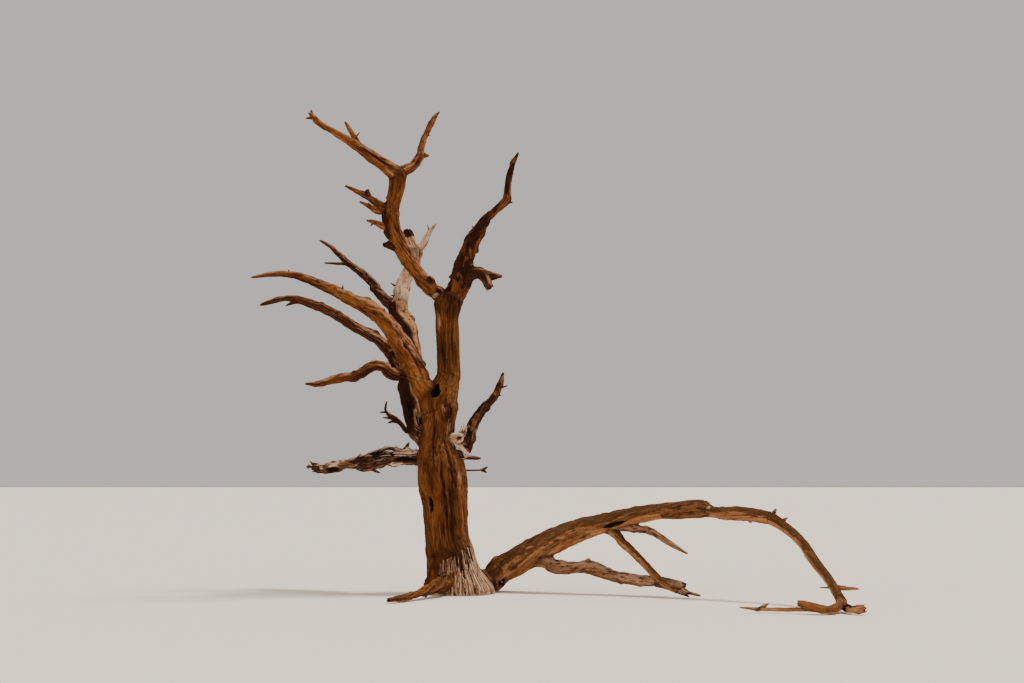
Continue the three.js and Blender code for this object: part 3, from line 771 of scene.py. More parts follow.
# The patterns in dead wood: how long and how wide each is, in metres plus radii of the limb
PATTERNS = {
    "lumps": ((0.05, 2.6), (0.0, 1.3)),
    "small lumps": ((0.02, 1.04), (0.0, 0.7)),
    "flutes": ((0.9, 0.0), (0.055, 0.0)),
    "splits": ((0.8, 0.0), (0.04, 0.0)),
    "side splits": ((0.2, 0.0), (0.02, 0.0)),
    "cracked patches": ((0.5, 0.0), (0.14, 0.0)),
    "fibres": ((0.16, 0.0), (0.013, 0.0)),
    "bark": ((0.15, 0.0), (0.06, 0.0)),
    "bark edges": ((0.05, 0.0), (0.025, 0.0)),
    "knobs": ((0.09, 0.3), (0.05, 0.2)),
    "roughness": ((0.05, 0.0), (0.03, 0.0)),
}
PATTERN_SEEDS = 20  # how many seeds each limb has for its patterns

# How far the patterns raise the wood, in radii of the limb
LUMP_HEIGHT = 0.16
KNOB_HEIGHT = 0.22
ROUGH_HEIGHT = 0.05
FLUTE_HEIGHT = 0.07

# How far they raise or sink it in metres, and at most in radii
CRACK_DEPTH = (0.011, 0.14)
FIBRE_HEIGHT = (0.0018, 0.03)
BARK_HEIGHT = (0.007, 0.1)

# How strong the finer of two patterns is
SMALL_LUMPS = 0.6
SIDE_SPLITS = 0.35
BARK_EDGES = 0.6

# The values of a pattern from where it starts to show to where it shows fully
CRACKS_SHOW = (-0.25, 0.35)
BARK_SHOWS = (0.55, 0.75)
KNOBS_SHOW = (0.35, 0.85)
CRACK_WIDTH = 0.1
BARK_GAIN = 3  # how fast bark gets its full strength as a limb has more of it


def weathered(limb, along, angle, radius, seed):
    """How far dead wood stands out from the round, and where it is cracked and where bark clings."""
    turned = angle + limb.twist * along
    mean = np.mean(radius)

    def grain(pattern):
        layer = 1 + list(PATTERNS).index(pattern)
        long, wide = (metres + radii * mean for metres, radii in PATTERNS[pattern])
        return noise(grain_space(along, turned, radius, long, wide), seed * PATTERN_SEEDS + layer)

    def limited(size):
        return np.minimum(size[0], size[1] * radius)

    lumps = grain("lumps") + SMALL_LUMPS * grain("small lumps")
    split = grain("splits") + SIDE_SPLITS * grain("side splits")
    crack = np.exp(-((split / CRACK_WIDTH) ** 2)) * eased(*CRACKS_SHOW, grain("cracked patches"))
    dark_cover = grain("bark") + BARK_EDGES * grain("bark edges")
    bark = eased(*BARK_SHOWS, dark_cover + limb.bark) * min(1.0, BARK_GAIN * limb.bark)
    knobs = eased(*KNOBS_SHOW, grain("knobs"))
    uneven = LUMP_HEIGHT * lumps + KNOB_HEIGHT * knobs + ROUGH_HEIGHT * grain("roughness")
    fluted = FLUTE_HEIGHT * min(1.0, limb.cracks) * grain("flutes")
    height = radius * (limb.lumps * uneven + fluted)
    height = height - limited(CRACK_DEPTH) * limb.cracks * crack
    height = height + limited(FIBRE_HEIGHT) * grain("fibres") + limited(BARK_HEIGHT) * bark
    return height, crack, bark


@dataclass(frozen=True)
class End:
    """A kind of end: how far back it reaches, how it narrows, and how its splinters stand out."""

    reach: float  # in radii there
    narrowing: float
    splinters: float = 0.0
    sunk: float = 0.0  # how deep its middle lies, in radii there


ENDS = {
    "fork": End(1.0, 0.98),
    "round": End(0.8, 0.98),
    "worn": End(2.6, 0.55, 0.7, 0.2),
    "snapped": End(1.2, 0.15, 1.1, 0.5),
    "hollow": End(1.0, 0.1, 0.5, 2.2),
}
WHOLE_ENDS = ("fork", "round")
COARSE_SPLINTERS = 1.6  # how many there are to a radius
FINE_SPLINTERS = 4.1
FINE_STRENGTH = 0.7


def ending(limb, course, along, across, angle, radius, seed):
    """How a limb narrows towards its end, and how its splinters reach along it there."""
    last = course.mean[-1]
    end = ENDS[limb.end]
    span = end.reach * last
    near = np.clip((along - course.length + span) / span, 0.0, 1.0)
    if limb.end in WHOLE_ENDS:
        return np.sqrt(1 - (end.narrowing * near) ** 2), np.zeros(len(along))
    layer = np.full(len(along), seed * END_SHIFT)
    flat = np.column_stack((across * np.cos(angle), across * np.sin(angle), layer))
    coarse = noise(flat * COARSE_SPLINTERS, seed + SPLINTER_SEEDS[0])
    splinters = coarse + FINE_STRENGTH * noise(flat * FINE_SPLINTERS, seed + SPLINTER_SEEDS[1])
    sunk, narrowing = 1 - across**2, end.narrowing * near**2
    if limb.end == "hollow":
        sunk, narrowing = np.sqrt(sunk.clip(0)), end.narrowing * near
    return 1 - narrowing, near * last * (end.splinters * splinters - end.sunk * sunk)


def together(first, second, blend):
    """The distance to two rounds whose wood flows together over the length of the blend."""
    share = np.clip(0.5 + 0.5 * (second - first) / blend, 0.0, 1.0)
    return second + (first - second) * share - blend * share * (1 - share)


def meeting(name):
    """The limbs that this one may meet, each with the length over which their wood flows together."""
    own, found = LIMBS[name], []
    for other, limb in LIMBS.items():
        if limb.parent == name:
            found.append((course_of(other), FILLET * course_of(other).foot_radius()))
        elif own.parent == other:
            found.append((course_of(other), FILLET * course_of(name).foot_radius()))
        elif other != name and own.parent and own.parent == limb.parent:
            slighter = min(course_of(name).foot_radius(), course_of(other).foot_radius())
            found.append((course_of(other), CROTCH * slighter))
    return found


def fused(joins, points, outward):
    """How far limbs that grow together move each point of this one, and how near the seam is.

    Each point moves out to where the rounds flow together. Past the middle of the join, the
    surface belongs to the other limb, and this one sinks under it.
    """
    move = np.zeros(len(points))
    for _ in range(MEETING_ROUNDS):
        lead, width = np.full(len(points), -np.inf), np.ones(len(points))
        blended = move.copy()
        for course, blend in joins:
            box_low, box_high = course.reach(2 * blend)
            close = ((points > box_low) & (points < box_high)).all(axis=1)
            if not close.any():
                continue
            gap = course.outside(points[close] + outward[close] * move[close, None])
            blended[close] = together(blended[close], gap, blend)
            ahead = (move[close] - gap) / blend
            further = ahead > lead[close]
            rows = np.flatnonzero(close)[further]
            lead[rows], width[rows] = ahead[further], blend
        step = np.where(lead > -FILL_REACH, -blended, 0.0)
        move = np.clip(move + step, 0.0, MOST_FILL * width)
    sunk = eased(0.0, SEAM_WIDTH, lead)
    seam = np.exp(-((np.maximum(lead, -FAR_FROM_SEAM) / SEAM_WIDTH) ** 2))
    return move * (1 - sunk) - SINKING * width * sunk, seam


# Making the limbs

FEWEST_RINGS = 6
# How dark cracks are painted: painted shade inside them
CRACK_DARKNESS = 0.8
RAW_REACH = 0.5  # how far back the painted shade inside a broken end shows, in radii there
RAW_EDGE = (0.75, 0.98)  # and how far from its middle, from full dark to none


def pole(sides, rings, cap_rings):
    """An upright pole of radius 1 and height 1, of a fine grid of faces, with a ringed top."""
    bm = bmesh.new()
    bmesh.ops.create_cone(bm, cap_ends=True, segments=sides, radius1=1.0, radius2=1.0, depth=1.0)
    bmesh.ops.translate(bm, verts=bm.verts, vec=(0.0, 0.0, 0.5))
    bm.normal_update()
    upright = [e for e in bm.edges if abs(e.verts[0].co.z - e.verts[1].co.z) > 0.5]
    top = [f for f in bm.faces if f.normal.z > 0.9]
    for _ in range(cap_rings):
        bmesh.ops.inset_region(bm, faces=top, thickness=1 / (cap_rings + 1), use_even_offset=True)
    bmesh.ops.poke(bm, faces=top)
    bmesh.ops.subdivide_edges(bm, edges=upright, cuts=rings - 1)
    return bm


def wood(course, limb, seed, cell, sizes, joins=(), marks=()):
    """A limb of dead wood bent along its course, and what is kept at each of its vertices."""
    sides = max(sizes.fewest_sides, int(2 * math.pi * course.mean.max() / cell))
    rings = max(FEWEST_RINGS, int(course.length / (sizes.cell_stretch * cell)))
    bm = pole(sides, rings, sizes.cap_rings)
    place = np.array([vert.co for vert in bm.verts])
    along = place[:, 2] * course.length
    across = np.minimum(1.0, np.hypot(place[:, 0], place[:, 1]))
    angle = np.arctan2(place[:, 1], place[:, 0])
    mean = np.interp(along, course.along, course.mean)
    height, crack, bark = weathered(limb, along, angle, mean, seed)
    push, looks = marked(marks, course, along, angle, mean, seed)
    narrowed, reached = ending(limb, course, along, across, angle, mean, seed)
    radius = course.radius_at(along, angle) * narrowed * limb.slim
    side, over = course.at(along, course.side), course.at(along, course.over)
    outward = unit(side * np.cos(angle)[:, None] + over * np.sin(angle)[:, None])
    middle = course.at(along, course.points)
    move, seam = fused(joins, middle + outward * radius[:, None], outward)
    radius = radius + move + (height * (1 - SEAM_FLATNESS * seam) + push) * narrowed
    points = middle + outward * (radius * across)[:, None]
    points = points + course.at(along, course.ahead) * reached[:, None]
    points[:, 2] = np.maximum(points[:, 2], 0.0)
    for vert, point in zip(bm.verts, points):
        vert.co = point
    last = RAW_REACH * course.mean[-1]
    end = np.clip((along - course.length + last) / last, 0.0, 1.0)
    raw = (1 - eased(*RAW_EDGE, across)) * end * (limb.end not in WHOLE_ENDS)
    turned = angle + limb.twist * along
    down = along + seed * GRAIN_SHIFT
    grain = np.column_stack((down, mean * np.cos(turned), mean * np.sin(turned)))
    long, wide = SUN_PATCHES
    kept = {
        "grain": grain,
        # cracks, holes and broken ends, painted near-black: painted shade
        "hollow": np.maximum.reduce((CRACK_DARKNESS * crack * limb.cracks, looks["hollow"], raw)),
        "pale": looks["pale"],
        # clinging bark, and painted shade in the crease where two limbs meet
        "bark": np.maximum.reduce((bark, looks["bark"], SEAM_SHADE_AND_BARK * seam * (1 - looks["pale"]))),
        # how much paler the side towards the key lamp turns: partly sun-bleaching, partly painted light
        "bleach_and_light": np.full(len(along), limb.bleach_and_light),
        "sunned": np.full(len(along), limb.sunned),
        "patchy": noise(grain * (1 / long, 1 / wide, 1 / wide), seed + SUN_SEED),
    }
    return bm, kept


def placed(name, data):
    """A new object in the scene."""
    made = bpy.data.objects.new(name, data)
    bpy.context.scene.collection.objects.link(made)
    return made


def joined(name, parts, finish, nodes=()):
    """Makes one piece of the parts, with its finish, that rides on the tree for its nodes."""
    whole = bmesh.new()
    for bm, _ in parts:
        some = bpy.data.meshes.new(name)
        bm.to_mesh(some)
        bm.free()
        whole.from_mesh(some)
        bpy.data.meshes.remove(some)
    mesh = bpy.data.meshes.new(name)
    whole.to_mesh(mesh)
    whole.free()
    kept = {label: np.concatenate([part[1][label] for part in parts]) for label in parts[0][1]}
    normals = np.empty(len(mesh.vertices) * 3)
    mesh.vertex_normals.foreach_get("vector", normals)
    # Painted light: wood that faces near the key lamp takes its finish's sun colour, partly as sun-bleaching
    facing = normals.reshape(-1, 3) @ np.array(SUNNY_SIDE) + kept["sunned"]
    sunny = eased(*SUN_EDGE, facing + SUN_PATCHINESS * kept["patchy"])
    bleach_and_light = np.clip(sunny * kept["bleach_and_light"] + kept["pale"], 0.0, 1.0)
    shade_light_and_wear = np.column_stack((kept["hollow"], bleach_and_light, kept["bark"]))
    for label, values in {"grain": kept["grain"], "shade_light_and_wear": shade_light_and_wear}.items():
        attribute = mesh.attributes.new(label, "FLOAT_VECTOR", "POINT")
        attribute.data.foreach_set("vector", values.ravel())
    for polygon in mesh.polygons:
        polygon.use_smooth = True
    mesh.materials.append(MATERIALS[finish])
    piece = placed(name, mesh)
    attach(piece, "root")
    if nodes:
        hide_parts(*nodes)


def make_limbs(context, names):
    """Makes some of the main limbs, each one a piece."""
    sizes = context.scene.dead_tree_sizes
    order = list(LIMBS)
    for name in names:
        limb = LIMBS[name]
        cell = sizes.limb_cell if limb.parent else sizes.trunk_cell
        seed = order.index(name) + 1
        part = wood(course_of(name), limb, seed, cell, sizes, meeting(name), MARKS.get(name, ()))
        nodes = limb.nodes or (name,)
        joined(f"{name}_wood", [part], limb.finish, nodes)


def make_twigs(context):
    """Makes the twigs, in pieces that share a finish."""
    sizes = context.scene.dead_tree_sizes
    for number, (piece, (finish, spurs)) in enumerate(SPURS.items()):
        parts = []
        for index, (name, spur) in enumerate(spurs.items()):
            look = Limb(spur.parent, spur.leaves, finish, spur.end, lumps=spur.lumps, cracks=spur.lumps)
            joins = [(course_of(spur.parent), FILLET * spur.thick)]
            seed = 100 * (number + 1) + index
            marks = MARKS.get(name, ())
            parts.append(wood(course_of(name), look, seed, sizes.twig_cell, sizes, joins, marks))
        joined(piece, parts, finish)


def make_strands(context):
    """Makes the loose pale strands that run down the right of the trunk's foot."""
    sizes = context.scene.dead_tree_sizes
    trunk = course_of("trunk")
    looks = random.Random(STRAND_SEED)
    right = math.atan2(trunk.over[0][0], trunk.side[0][0])
    front = math.atan2(-trunk.over[0][1], -trunk.side[0][1])
    turn = (front - right + math.pi) % (2 * math.pi) - math.pi
    parts = []
    first, last = STRAND_SPREAD
    for number in range(sizes.strands):
        share = (number + looks.uniform(-STRAND_SHIFT, STRAND_SHIFT)) / sizes.strands
        angle = right + turn * (first + (last - first) * share)
        top = looks.uniform(*STRAND_TOPS) * (1 - STRAND_FALL * share)
        low = looks.choice(STRAND_FEET) * looks.random()
        along = np.linspace(low, top, STRAND_KNOTS)
        sway = [angle + looks.uniform(-STRAND_SWAY, STRAND_SWAY) for _ in along]
        thick = looks.uniform(*STRAND_THICK)
        least, more = STRAND_LIFT
        lift = trunk.radius_at(along, np.array(sway)) + thick * (least + more * looks.random())
        side, over = trunk.at(along, trunk.side), trunk.at(along, trunk.over)
        out = side * np.cos(sway)[:, None] + over * np.sin(sway)[:, None]
        knots = trunk.at(along, trunk.points) + out * lift[:, None]
        course = Course(knots, np.linspace(thick, STRAND_TIP * thick, len(along)))
        least, more = STRAND_BLEACH_AND_LIGHT
        bleach_and_light = least + more * looks.random()
        look = Limb("trunk", 0.0, "strand_wood", twist=STRAND_TWIST, bleach_and_light=bleach_and_light)
        parts.append(wood(course, look, FIRST_STRAND_SEED + number, sizes.strand_cell, sizes))
    joined("foot_strands", parts, "strand_wood")


# Materials

MATERIALS = {}

# The streaks in a finish: how long and wide each kind is, and how strong
STREAKS = {
    "fine": (0.24, 0.012, 1.3),
    "broad": (1.2, 0.045, 1.6),
    "patches": (0.5, 0.14, 1.2),
    "mottling": (0.10, 0.03, 1.6),
}
STREAK_CONTRAST = 3.0
LIT_FIBRES = 1.2
FINE_WEAR, MOTTLED_WEAR = 0.7, 1.1  # how far the streaks break up the sun colour, bleached and painted light, and the bark with its painted crease shade
EVEN_SUN = 0.2  # how much of the sun colour, bleached and painted light, shows whatever the streaks
EVEN_BARK = 0.4
PIT_SHARPNESS = -3.0
HOLLOW_DARKNESS = 0.95
DUST_SHARE = 0.75
DUST_EDGE = (-0.045, -0.012)  # the heights, less the drift, from full dust to none
DRIFT_DETAIL, DRIFT_HEIGHT = 9.0, 0.08
MOTTLED_RELIEF = 0.8
RELIEF_STRENGTH, RELIEF_HEIGHT = 0.7, 0.006
ROUGHNESS = 0.9
SHINE = 0.06

# The finishes: their light fibres, wood, dark streaks, the colour of the side towards the key lamp (bleached
# wood, and partly painted light), and how pitted they are
FINISHES = {
    "trunk_wood": ("trunk_light", "trunk", "trunk_dark", "grey", 0.3),
    "golden_wood": ("golden_light", "golden", "golden_dark", "grey", 0.6),
    # The low bough: its underside keeps the bright orange colours as painted warm bounce light, and its top
    # takes the darker weathered colour
    "low_bough_wood": ("low_bough_light", "low_bough", "golden", "weathered", 0.3),
    "prop_wood": ("pale", "grey", "trunk", "pale", 0.8),
    "rear_wood": ("grey", "shaded", "hollow", "low_bough_light", 0.8),
    "bone_wood": ("bleached", "bleached", "grey", "bleached", 0.5),
    "shaded_wood": ("trunk", "shaded", "hollow", "grey", 0.6),
    "bleached_wood": ("bleached", "pale", "low_bough", "bleached", 0.25),
    "strand_wood": ("pale", "grey", "trunk", "bleached", 0.6),
    "flaking_wood": ("grey", "shaded", "hollow", "bleached", 0.7),
}


def node(tree, kind, values=None, **settings):
    """Adds a node, sets its properties, and fills or links its inputs."""
    made = tree.nodes.new(kind)
    for key, value in settings.items():
        setattr(made, key, value)
    for key, value in (values or {}).items():
        if isinstance(value, bpy.types.NodeSocket):
            tree.links.new(value, made.inputs[key])
        else:
            made.inputs[key].default_value = value
    return made


def mixed(tree, share, first, second, blend="MIX"):
    """A mix of two colours."""
    made = node(tree, "ShaderNodeMix", {0: share, 6: first, 7: second}, data_type="RGBA", blend_type=blend)
    return made.outputs[2]


def reckoned(tree, operation, first, second=0.0, third=0.0, clamp=False):
    """A sum on numbers."""
    values = {0: first, 1: second, 2: third}
    return node(tree, "ShaderNodeMath", values, operation=operation, use_clamp=clamp).outputs[0]


def new_group(name, inputs, outputs):
    """An empty node group with named sockets, and its two end nodes."""
    tree = bpy.data.node_groups.new(name, "ShaderNodeTree")
    for label, (kind, default) in inputs.items():
        socket = tree.interface.new_socket(label, in_out="INPUT", socket_type=kind)
        if default is not None:
            socket.default_value = default
    for label, kind in outputs.items():
        tree.interface.new_socket(label, in_out="OUTPUT", socket_type=kind)
    return tree, tree.nodes.new("NodeGroupInput").outputs, tree.nodes.new("NodeGroupOutput").inputs


def fibre_group():
    """Streaks that run with the grain."""
    tree, given, result = new_group(
        "Fibre grain",
        {
            "Grain": ("NodeSocketVector", None),
            "Length": ("NodeSocketFloat", 0.4),
            "Width": ("NodeSocketFloat", 0.012),
            "Contrast": ("NodeSocketFloat", 1.0),
        },
        {"Streak": "NodeSocketFloat"},
    )
    long = reckoned(tree, "DIVIDE", 1.0, given["Length"])
    wide = reckoned(tree, "DIVIDE", 1.0, given["Width"])
    scale = node(tree, "ShaderNodeCombineXYZ", {0: long, 1: wide, 2: wide}).outputs[0]
    place = node(tree, "ShaderNodeVectorMath", {0: given["Grain"], 1: scale}, operation="MULTIPLY")
    look = {"Vector": place.outputs[0], "Scale": 1.0, "Detail": 4.0, "Roughness": 0.6}
    centred = reckoned(tree, "SUBTRACT", node(tree, "ShaderNodeTexNoise", look).outputs[0], 0.5)
    spread = reckoned(tree, "MULTIPLY", centred, given["Contrast"])
    steep = reckoned(tree, "MULTIPLY", spread, STREAK_CONTRAST)
    streak = reckoned(tree, "ADD", steep, 0.5, clamp=True)
    tree.links.new(streak, result["Streak"])
    return tree


def wood_material(name, fibres, light, middle, dark, bleached, bark, hollow, dusty, pitted):
    """Dead wood: streaked along its grain, paler on the side towards the key lamp (partly sun-bleaching,
    partly painted light), painted near-black as shade in its cracks, holes and broken ends, and dark in its
    pits.
    """
    material = bpy.data.materials.new(name)
    material.use_nodes = True
    tree = material.node_tree
    tree.nodes.clear()
    add, mix, reckon = partial(node, tree), partial(mixed, tree), partial(reckoned, tree)
    grain = add("ShaderNodeAttribute", attribute_name="grain").outputs["Vector"]
    shade_light_and_wear = add("ShaderNodeAttribute", attribute_name="shade_light_and_wear").outputs["Vector"]
    hollowed, sunned, bark_and_crease_shade = add("ShaderNodeSeparateXYZ", {0: shade_light_and_wear}).outputs

    def streaks(long, wide, contrast):
        values = {"Grain": grain, "Length": long, "Width": wide, "Contrast": contrast}
        return add("ShaderNodeGroup", values, node_tree=fibres).outputs[0]

    fine, broad, patches, mottling = (streaks(*kind) for kind in STREAKS.values())
    colour = mix(broad, dark, middle)
    lit = reckon("MULTIPLY", reckon("MULTIPLY", fine, patches), LIT_FIBRES, clamp=True)
    colour = mix(lit, colour, light)
    uneven = reckon("MULTIPLY_ADD", fine, FINE_WEAR, reckon("MULTIPLY", mottling, MOTTLED_WEAR))
    # The side towards the key lamp: sun-bleached, and painted light
    sun = reckon("MULTIPLY", sunned, reckon("ADD", uneven, EVEN_SUN), clamp=True)
    colour = mix(sun, colour, bleached)
    # Bark, and painted shade in the creases where limbs meet
    dark_cover = reckon("MULTIPLY", bark_and_crease_shade, reckon("ADD", uneven, EVEN_BARK), clamp=True)
    colour = mix(dark_cover, colour, bark)
    pits = reckon("MULTIPLY_ADD", mottling, PIT_SHARPNESS, 1.0, clamp=True)
    colour = mix(reckon("MULTIPLY", pits, pitted), colour, bark)
    # Painted shade: cracks, holes and broken ends turn near-black
    colour = mix(reckon("MULTIPLY", hollowed, HOLLOW_DARKNESS), colour, hollow)
    place = add("ShaderNodeTexCoord").outputs["Object"]
    up = add("ShaderNodeSeparateXYZ", {0: place}).outputs[2]
    drift = add("ShaderNodeTexNoise", {"Vector": place, "Scale": DRIFT_DETAIL}).outputs[0]
    level = reckon("MULTIPLY_ADD", drift, -DRIFT_HEIGHT, up)
    ramp = {0: level, 1: DUST_EDGE[0], 2: DUST_EDGE[1], 3: DUST_SHARE, 4: 0.0}
    colour = mix(add("ShaderNodeMapRange", ramp).outputs[0], colour, dusty)
    relief = {
        "Height": reckon("MULTIPLY_ADD", mottling, MOTTLED_RELIEF, fine),
        "Strength": RELIEF_STRENGTH,
        "Distance": RELIEF_HEIGHT,
    }
    finish = {
        "Base Color": colour,
        "Roughness": ROUGHNESS,
        "Specular IOR Level": SHINE,
        "Normal": add("ShaderNodeBump", relief).outputs[0],
    }
    add("ShaderNodeOutputMaterial", {"Surface": add("ShaderNodeBsdfPrincipled", finish).outputs[0]})
    return material


def solid_colour(colour):
    """The colour with nothing of what is behind it."""
    return (*colour, 1.0)


def make_materials(colours):
    """Every finish on the tree."""
    fibres = fibre_group()
    for name, (*shades, pitted) in FINISHES.items():
        given = [solid_colour(getattr(colours, shade)) for shade in (*shades, "bark", "hollow", "dust")]
        MATERIALS[name] = wood_material(name, fibres, *given, pitted)


# What a user can change


def length_property(label, description, default):
    """A length that a user can change."""
    return FloatProperty(name=label, description=description, default=default, unit="LENGTH")


class DeadTreeSizes(bpy.types.PropertyGroup):
    """The sizes that the wood is made with."""

    trunk_cell: length_property("Trunk cell", "Width of a face round the trunk", 0.007)
    limb_cell: length_property("Limb cell", "Width of a face round a limb", 0.007)
    twig_cell: length_property("Twig cell", "Width of a face round a twig", 0.006)
    strand_cell: length_property("Strand cell", "Width of a face round a strand", 0.006)
    strands: IntProperty(name="Strands", description="Loose strands at the trunk's foot", default=104)
    fewest_sides: IntProperty(name="Fewest sides", description="Faces round the thinnest twig", default=10)
    cell_stretch: FloatProperty(name="Cell stretch", description="A face's length in its widths", default=2.0)
    cap_rings: IntProperty(name="End rings", description="Rings of faces on a broken end", default=6)
    camera_distance: length_property("Camera distance", "From the trunk to the camera", 17.09)
    camera_height: length_property("Camera height", "Height of the camera", 1.52)
    camera_right: length_property("Camera right", "How far the camera is right of the trunk", 0.588)
    camera_tilt: FloatProperty(name="Camera tilt", description="How far the camera looks up",
                               default=math.radians(4.963), subtype="ANGLE")
    lens: FloatProperty(name="Lens", description="Focal length in millimetres", default=50.0)
    floor_size: length_property("Floor", "Side of the floor", 160.0)


def colour_property(label, description, default):
    """A colour that a user can change."""
    return FloatVectorProperty(name=label, description=description, default=default, subtype="COLOR",
                               min=0.0, max=1.0)


class DeadTreeColours(bpy.types.PropertyGroup):
    """The colours of the wood."""

    trunk_light: colour_property("Trunk light", "Raised fibres of the trunk", (0.25, 0.092, 0.022))
    trunk: colour_property("Trunk", "The trunk's wood", (0.112, 0.033, 0.008))
    trunk_dark: colour_property("Trunk dark", "Dark streaks in the trunk", (0.032, 0.01, 0.003))
    golden_light: colour_property("Golden light", "Raised fibres of the golden boughs", (0.33, 0.118, 0.030))
    golden: colour_property("Golden", "The golden boughs", (0.165, 0.050, 0.012))
    golden_dark: colour_property("Golden dark", "Dark streaks in the golden boughs", (0.045, 0.014, 0.004))
    # On the low bough's underside these bright orange colours are partly painted warm bounce light; its top
    # takes the darker weathered colour
    low_bough: colour_property("Low bough", "The low bough's wood", (0.40, 0.175, 0.068))
    low_bough_light: colour_property("Low bough light", "Its raised fibres", (0.50, 0.25, 0.12))
    weathered: colour_property("Weathered", "The top of the low bough", (0.090, 0.040, 0.015))
    # Partly the back boughs' own dark wood, partly painted shade
    shaded: colour_property("Shaded", "The dark boughs at the back", (0.078, 0.028, 0.011))
    grey: colour_property("Grey", "Wood greyed by the sun", (0.36, 0.175, 0.090))
    pale: colour_property("Pale", "Pale wood", (0.44, 0.28, 0.18))
    bleached: colour_property("Bleached", "Wood bleached white by the sun", (0.68, 0.48, 0.34))
    bark: colour_property("Bark", "The bark that still clings", (0.028, 0.009, 0.004))
    # Near-black: painted shade inside cracks and holes, and the darkest streaks of some finishes
    hollow: colour_property("Hollow", "Inside cracks and holes", (0.008, 0.004, 0.002))
    dust: colour_property("Dust", "Sand on the foot of the wood", (0.64, 0.46, 0.31))
    floor: colour_property("Floor", "The pale floor", (0.86, 0.79, 0.7))


# The steps


def low_limbs():
    """The names of the low bough and of what grows from it."""
    return [name for name in LIMBS if name.startswith(("low_bough", "toe"))]


class DeadTreeMaterials(bpy.types.Operator):
    """Make the finishes of the wood"""

    bl_idname = "dead_tree.materials"
    bl_label = "Finishes"

    def execute(self, context):
        make_materials(context.scene.dead_tree_colours)
        return {"FINISHED"}


class DeadTreeTrunk(bpy.types.Operator):
    """Make the trunk, its surface root and the loose strands of its foot"""

    bl_idname = "dead_tree.trunk"
    bl_label = "Trunk"

    def execute(self, context):
        make_limbs(context, ["trunk", "surface_root"])
        make_strands(context)
        return {"FINISHED"}


class DeadTreeCrown(bpy.types.Operator):
    """Make the stems and boughs of the crown"""

    bl_idname = "dead_tree.crown"
    bl_label = "Crown"

    def execute(self, context):
        others = ("trunk", "surface_root", *low_limbs())
        make_limbs(context, [name for name in LIMBS if name not in others])
        return {"FINISHED"}


class DeadTreeLowBough(bpy.types.Operator):
    """Make the low bough that comes down to the ground"""

    bl_idname = "dead_tree.low_bough"
    bl_label = "Low bough"

    def execute(self, context):
        make_limbs(context, low_limbs())
        return {"FINISHED"}


class DeadTreeTwigs(bpy.types.Operator):
    """Make the broken twigs"""

    bl_idname = "dead_tree.twigs"
    bl_label = "Twigs"

    def execute(self, context):
        make_twigs(context)
        return {"FINISHED"}


class DeadTreeStage(bpy.types.Operator):
    """Make the floor, the soft light and the camera"""

    bl_idname = "dead_tree.stage"
    bl_label = "Stage"

    def execute(self, context):
        sizes, colours = context.scene.dead_tree_sizes, context.scene.dead_tree_colours
        make_floor(sizes.floor_size, solid_colour(colours.floor))
        make_lights()
        make_camera(sizes)
        return {"FINISHED"}


# The stage

# The lamps: how strong, how many degrees wide, their colour, and where they shine from
LAMPS = {
    "key": (3.4, 12, (1.0, 0.94, 0.86), (0.40, 0.06, 0.91)),
    "fill": (0.8, 60, (1.0, 0.84, 0.68), (-0.80, -0.50, 0.35)),
}
SKY_COLOUR = (0.84, 0.81, 0.77)
SKY_STRENGTH = 0.7
SENSOR_WIDTH = 36.0  # in millimetres
FARTHEST_SEEN = 500.0


def make_floor(size, colour):
    """A plain pale floor."""
    bm = bmesh.new()
    bmesh.ops.create_grid(bm, x_segments=1, y_segments=1, size=size / 2)
    mesh = bpy.data.meshes.new("floor")
    bm.to_mesh(mesh)
    bm.free()
    material = bpy.data.materials.new("floor")
    material.use_nodes = True
    shader = material.node_tree.nodes["Principled BSDF"]
    shader.inputs["Base Color"].default_value = colour
    shader.inputs["Roughness"].default_value = ROUGHNESS
    mesh.materials.append(material)
    floor = placed("floor", mesh)


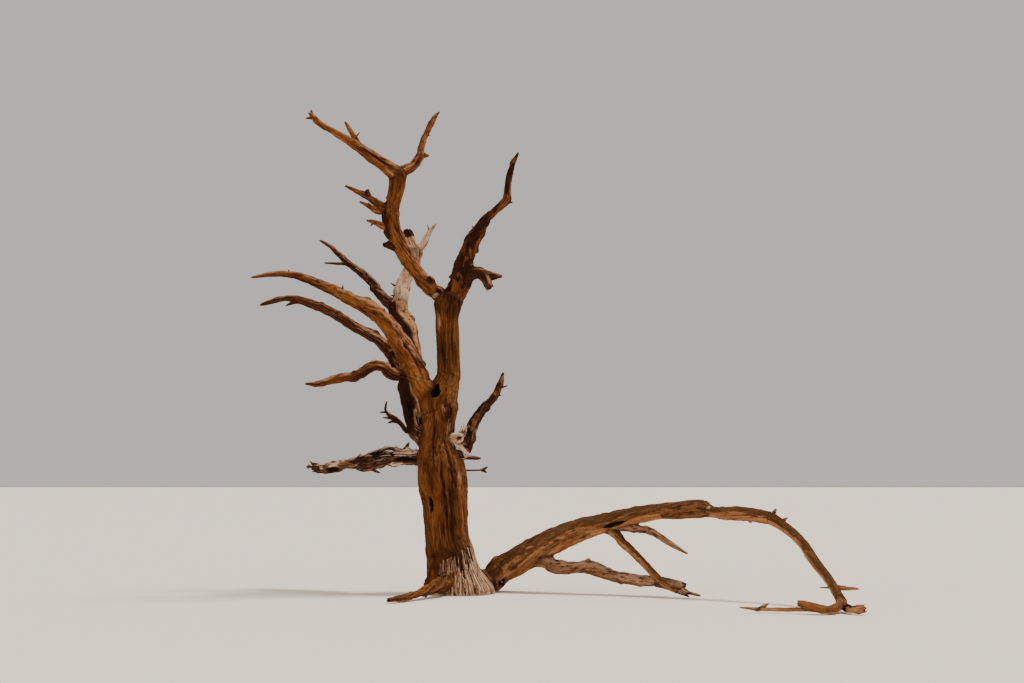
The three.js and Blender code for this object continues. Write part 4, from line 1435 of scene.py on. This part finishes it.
def make_lights():
    """A soft key light from the upper right and a weak warm one from the left, under a pale sky."""
    for name, (energy, spread, colour, way) in LAMPS.items():
        light = bpy.data.lights.new(name, "SUN")
        light.energy = energy
        light.angle = math.radians(spread)
        light.color = colour
        lamp = placed(name, light)
        lamp.rotation_euler = Vector(way).to_track_quat("Z", "Y").to_euler()
    world = bpy.data.worlds.new("soft sky")
    world.use_nodes = True
    background = world.node_tree.nodes["Background"].inputs
    background[0].default_value = solid_colour(SKY_COLOUR)
    background[1].default_value = SKY_STRENGTH
    bpy.context.scene.world = world


def make_camera(sizes):
    """The camera, where the photographer stood."""
    data = bpy.data.cameras.new("camera")
    data.lens = sizes.lens
    data.sensor_width = SENSOR_WIDTH
    data.clip_end = FARTHEST_SEEN
    camera = placed("camera", data)
    camera.location = (sizes.camera_right, -sizes.camera_distance, sizes.camera_height)
    camera.rotation_euler = (math.pi / 2 + sizes.camera_tilt, 0.0, 0.0)
    bpy.context.scene.camera = camera


# The panel, and making it all

OPERATORS = (
    DeadTreeMaterials, DeadTreeStage, DeadTreeTrunk, DeadTreeCrown, DeadTreeLowBough, DeadTreeTwigs,
)


class DeadTreePanel(bpy.types.Panel):
    """Lists the steps that make the tree"""

    bl_idname = "VIEW3D_PT_dead_tree"
    bl_label = "Dead Tree"
    bl_space_type = "VIEW_3D"
    bl_region_type = "UI"
    bl_category = "Dead Tree"

    def draw(self, context):
        for operator in OPERATORS:
            self.layout.operator(operator.bl_idname)
        for group in (context.scene.dead_tree_sizes, context.scene.dead_tree_colours):
            for label in group.bl_rna.properties.keys():
                if label not in ("rna_type", "name"):
                    self.layout.prop(group, label)


CLASSES = (DeadTreeSizes, DeadTreeColours, *OPERATORS, DeadTreePanel)


def register():
    """Adds the properties, the steps and the panel."""
    for kind in CLASSES:
        bpy.utils.register_class(kind)
    bpy.types.Scene.dead_tree_sizes = PointerProperty(type=DeadTreeSizes)
    bpy.types.Scene.dead_tree_colours = PointerProperty(type=DeadTreeColours)


def unregister():
    """Takes them out again."""
    del bpy.types.Scene.dead_tree_sizes
    del bpy.types.Scene.dead_tree_colours
    for kind in reversed(CLASSES):
        bpy.utils.unregister_class(kind)


def main():
    """Makes the whole tree on its stage."""
    register()
    for operator in OPERATORS:
        section, step = operator.bl_idname.split(".")
        getattr(getattr(bpy.ops, section), step)()


if __name__ == "__main__":
    main()
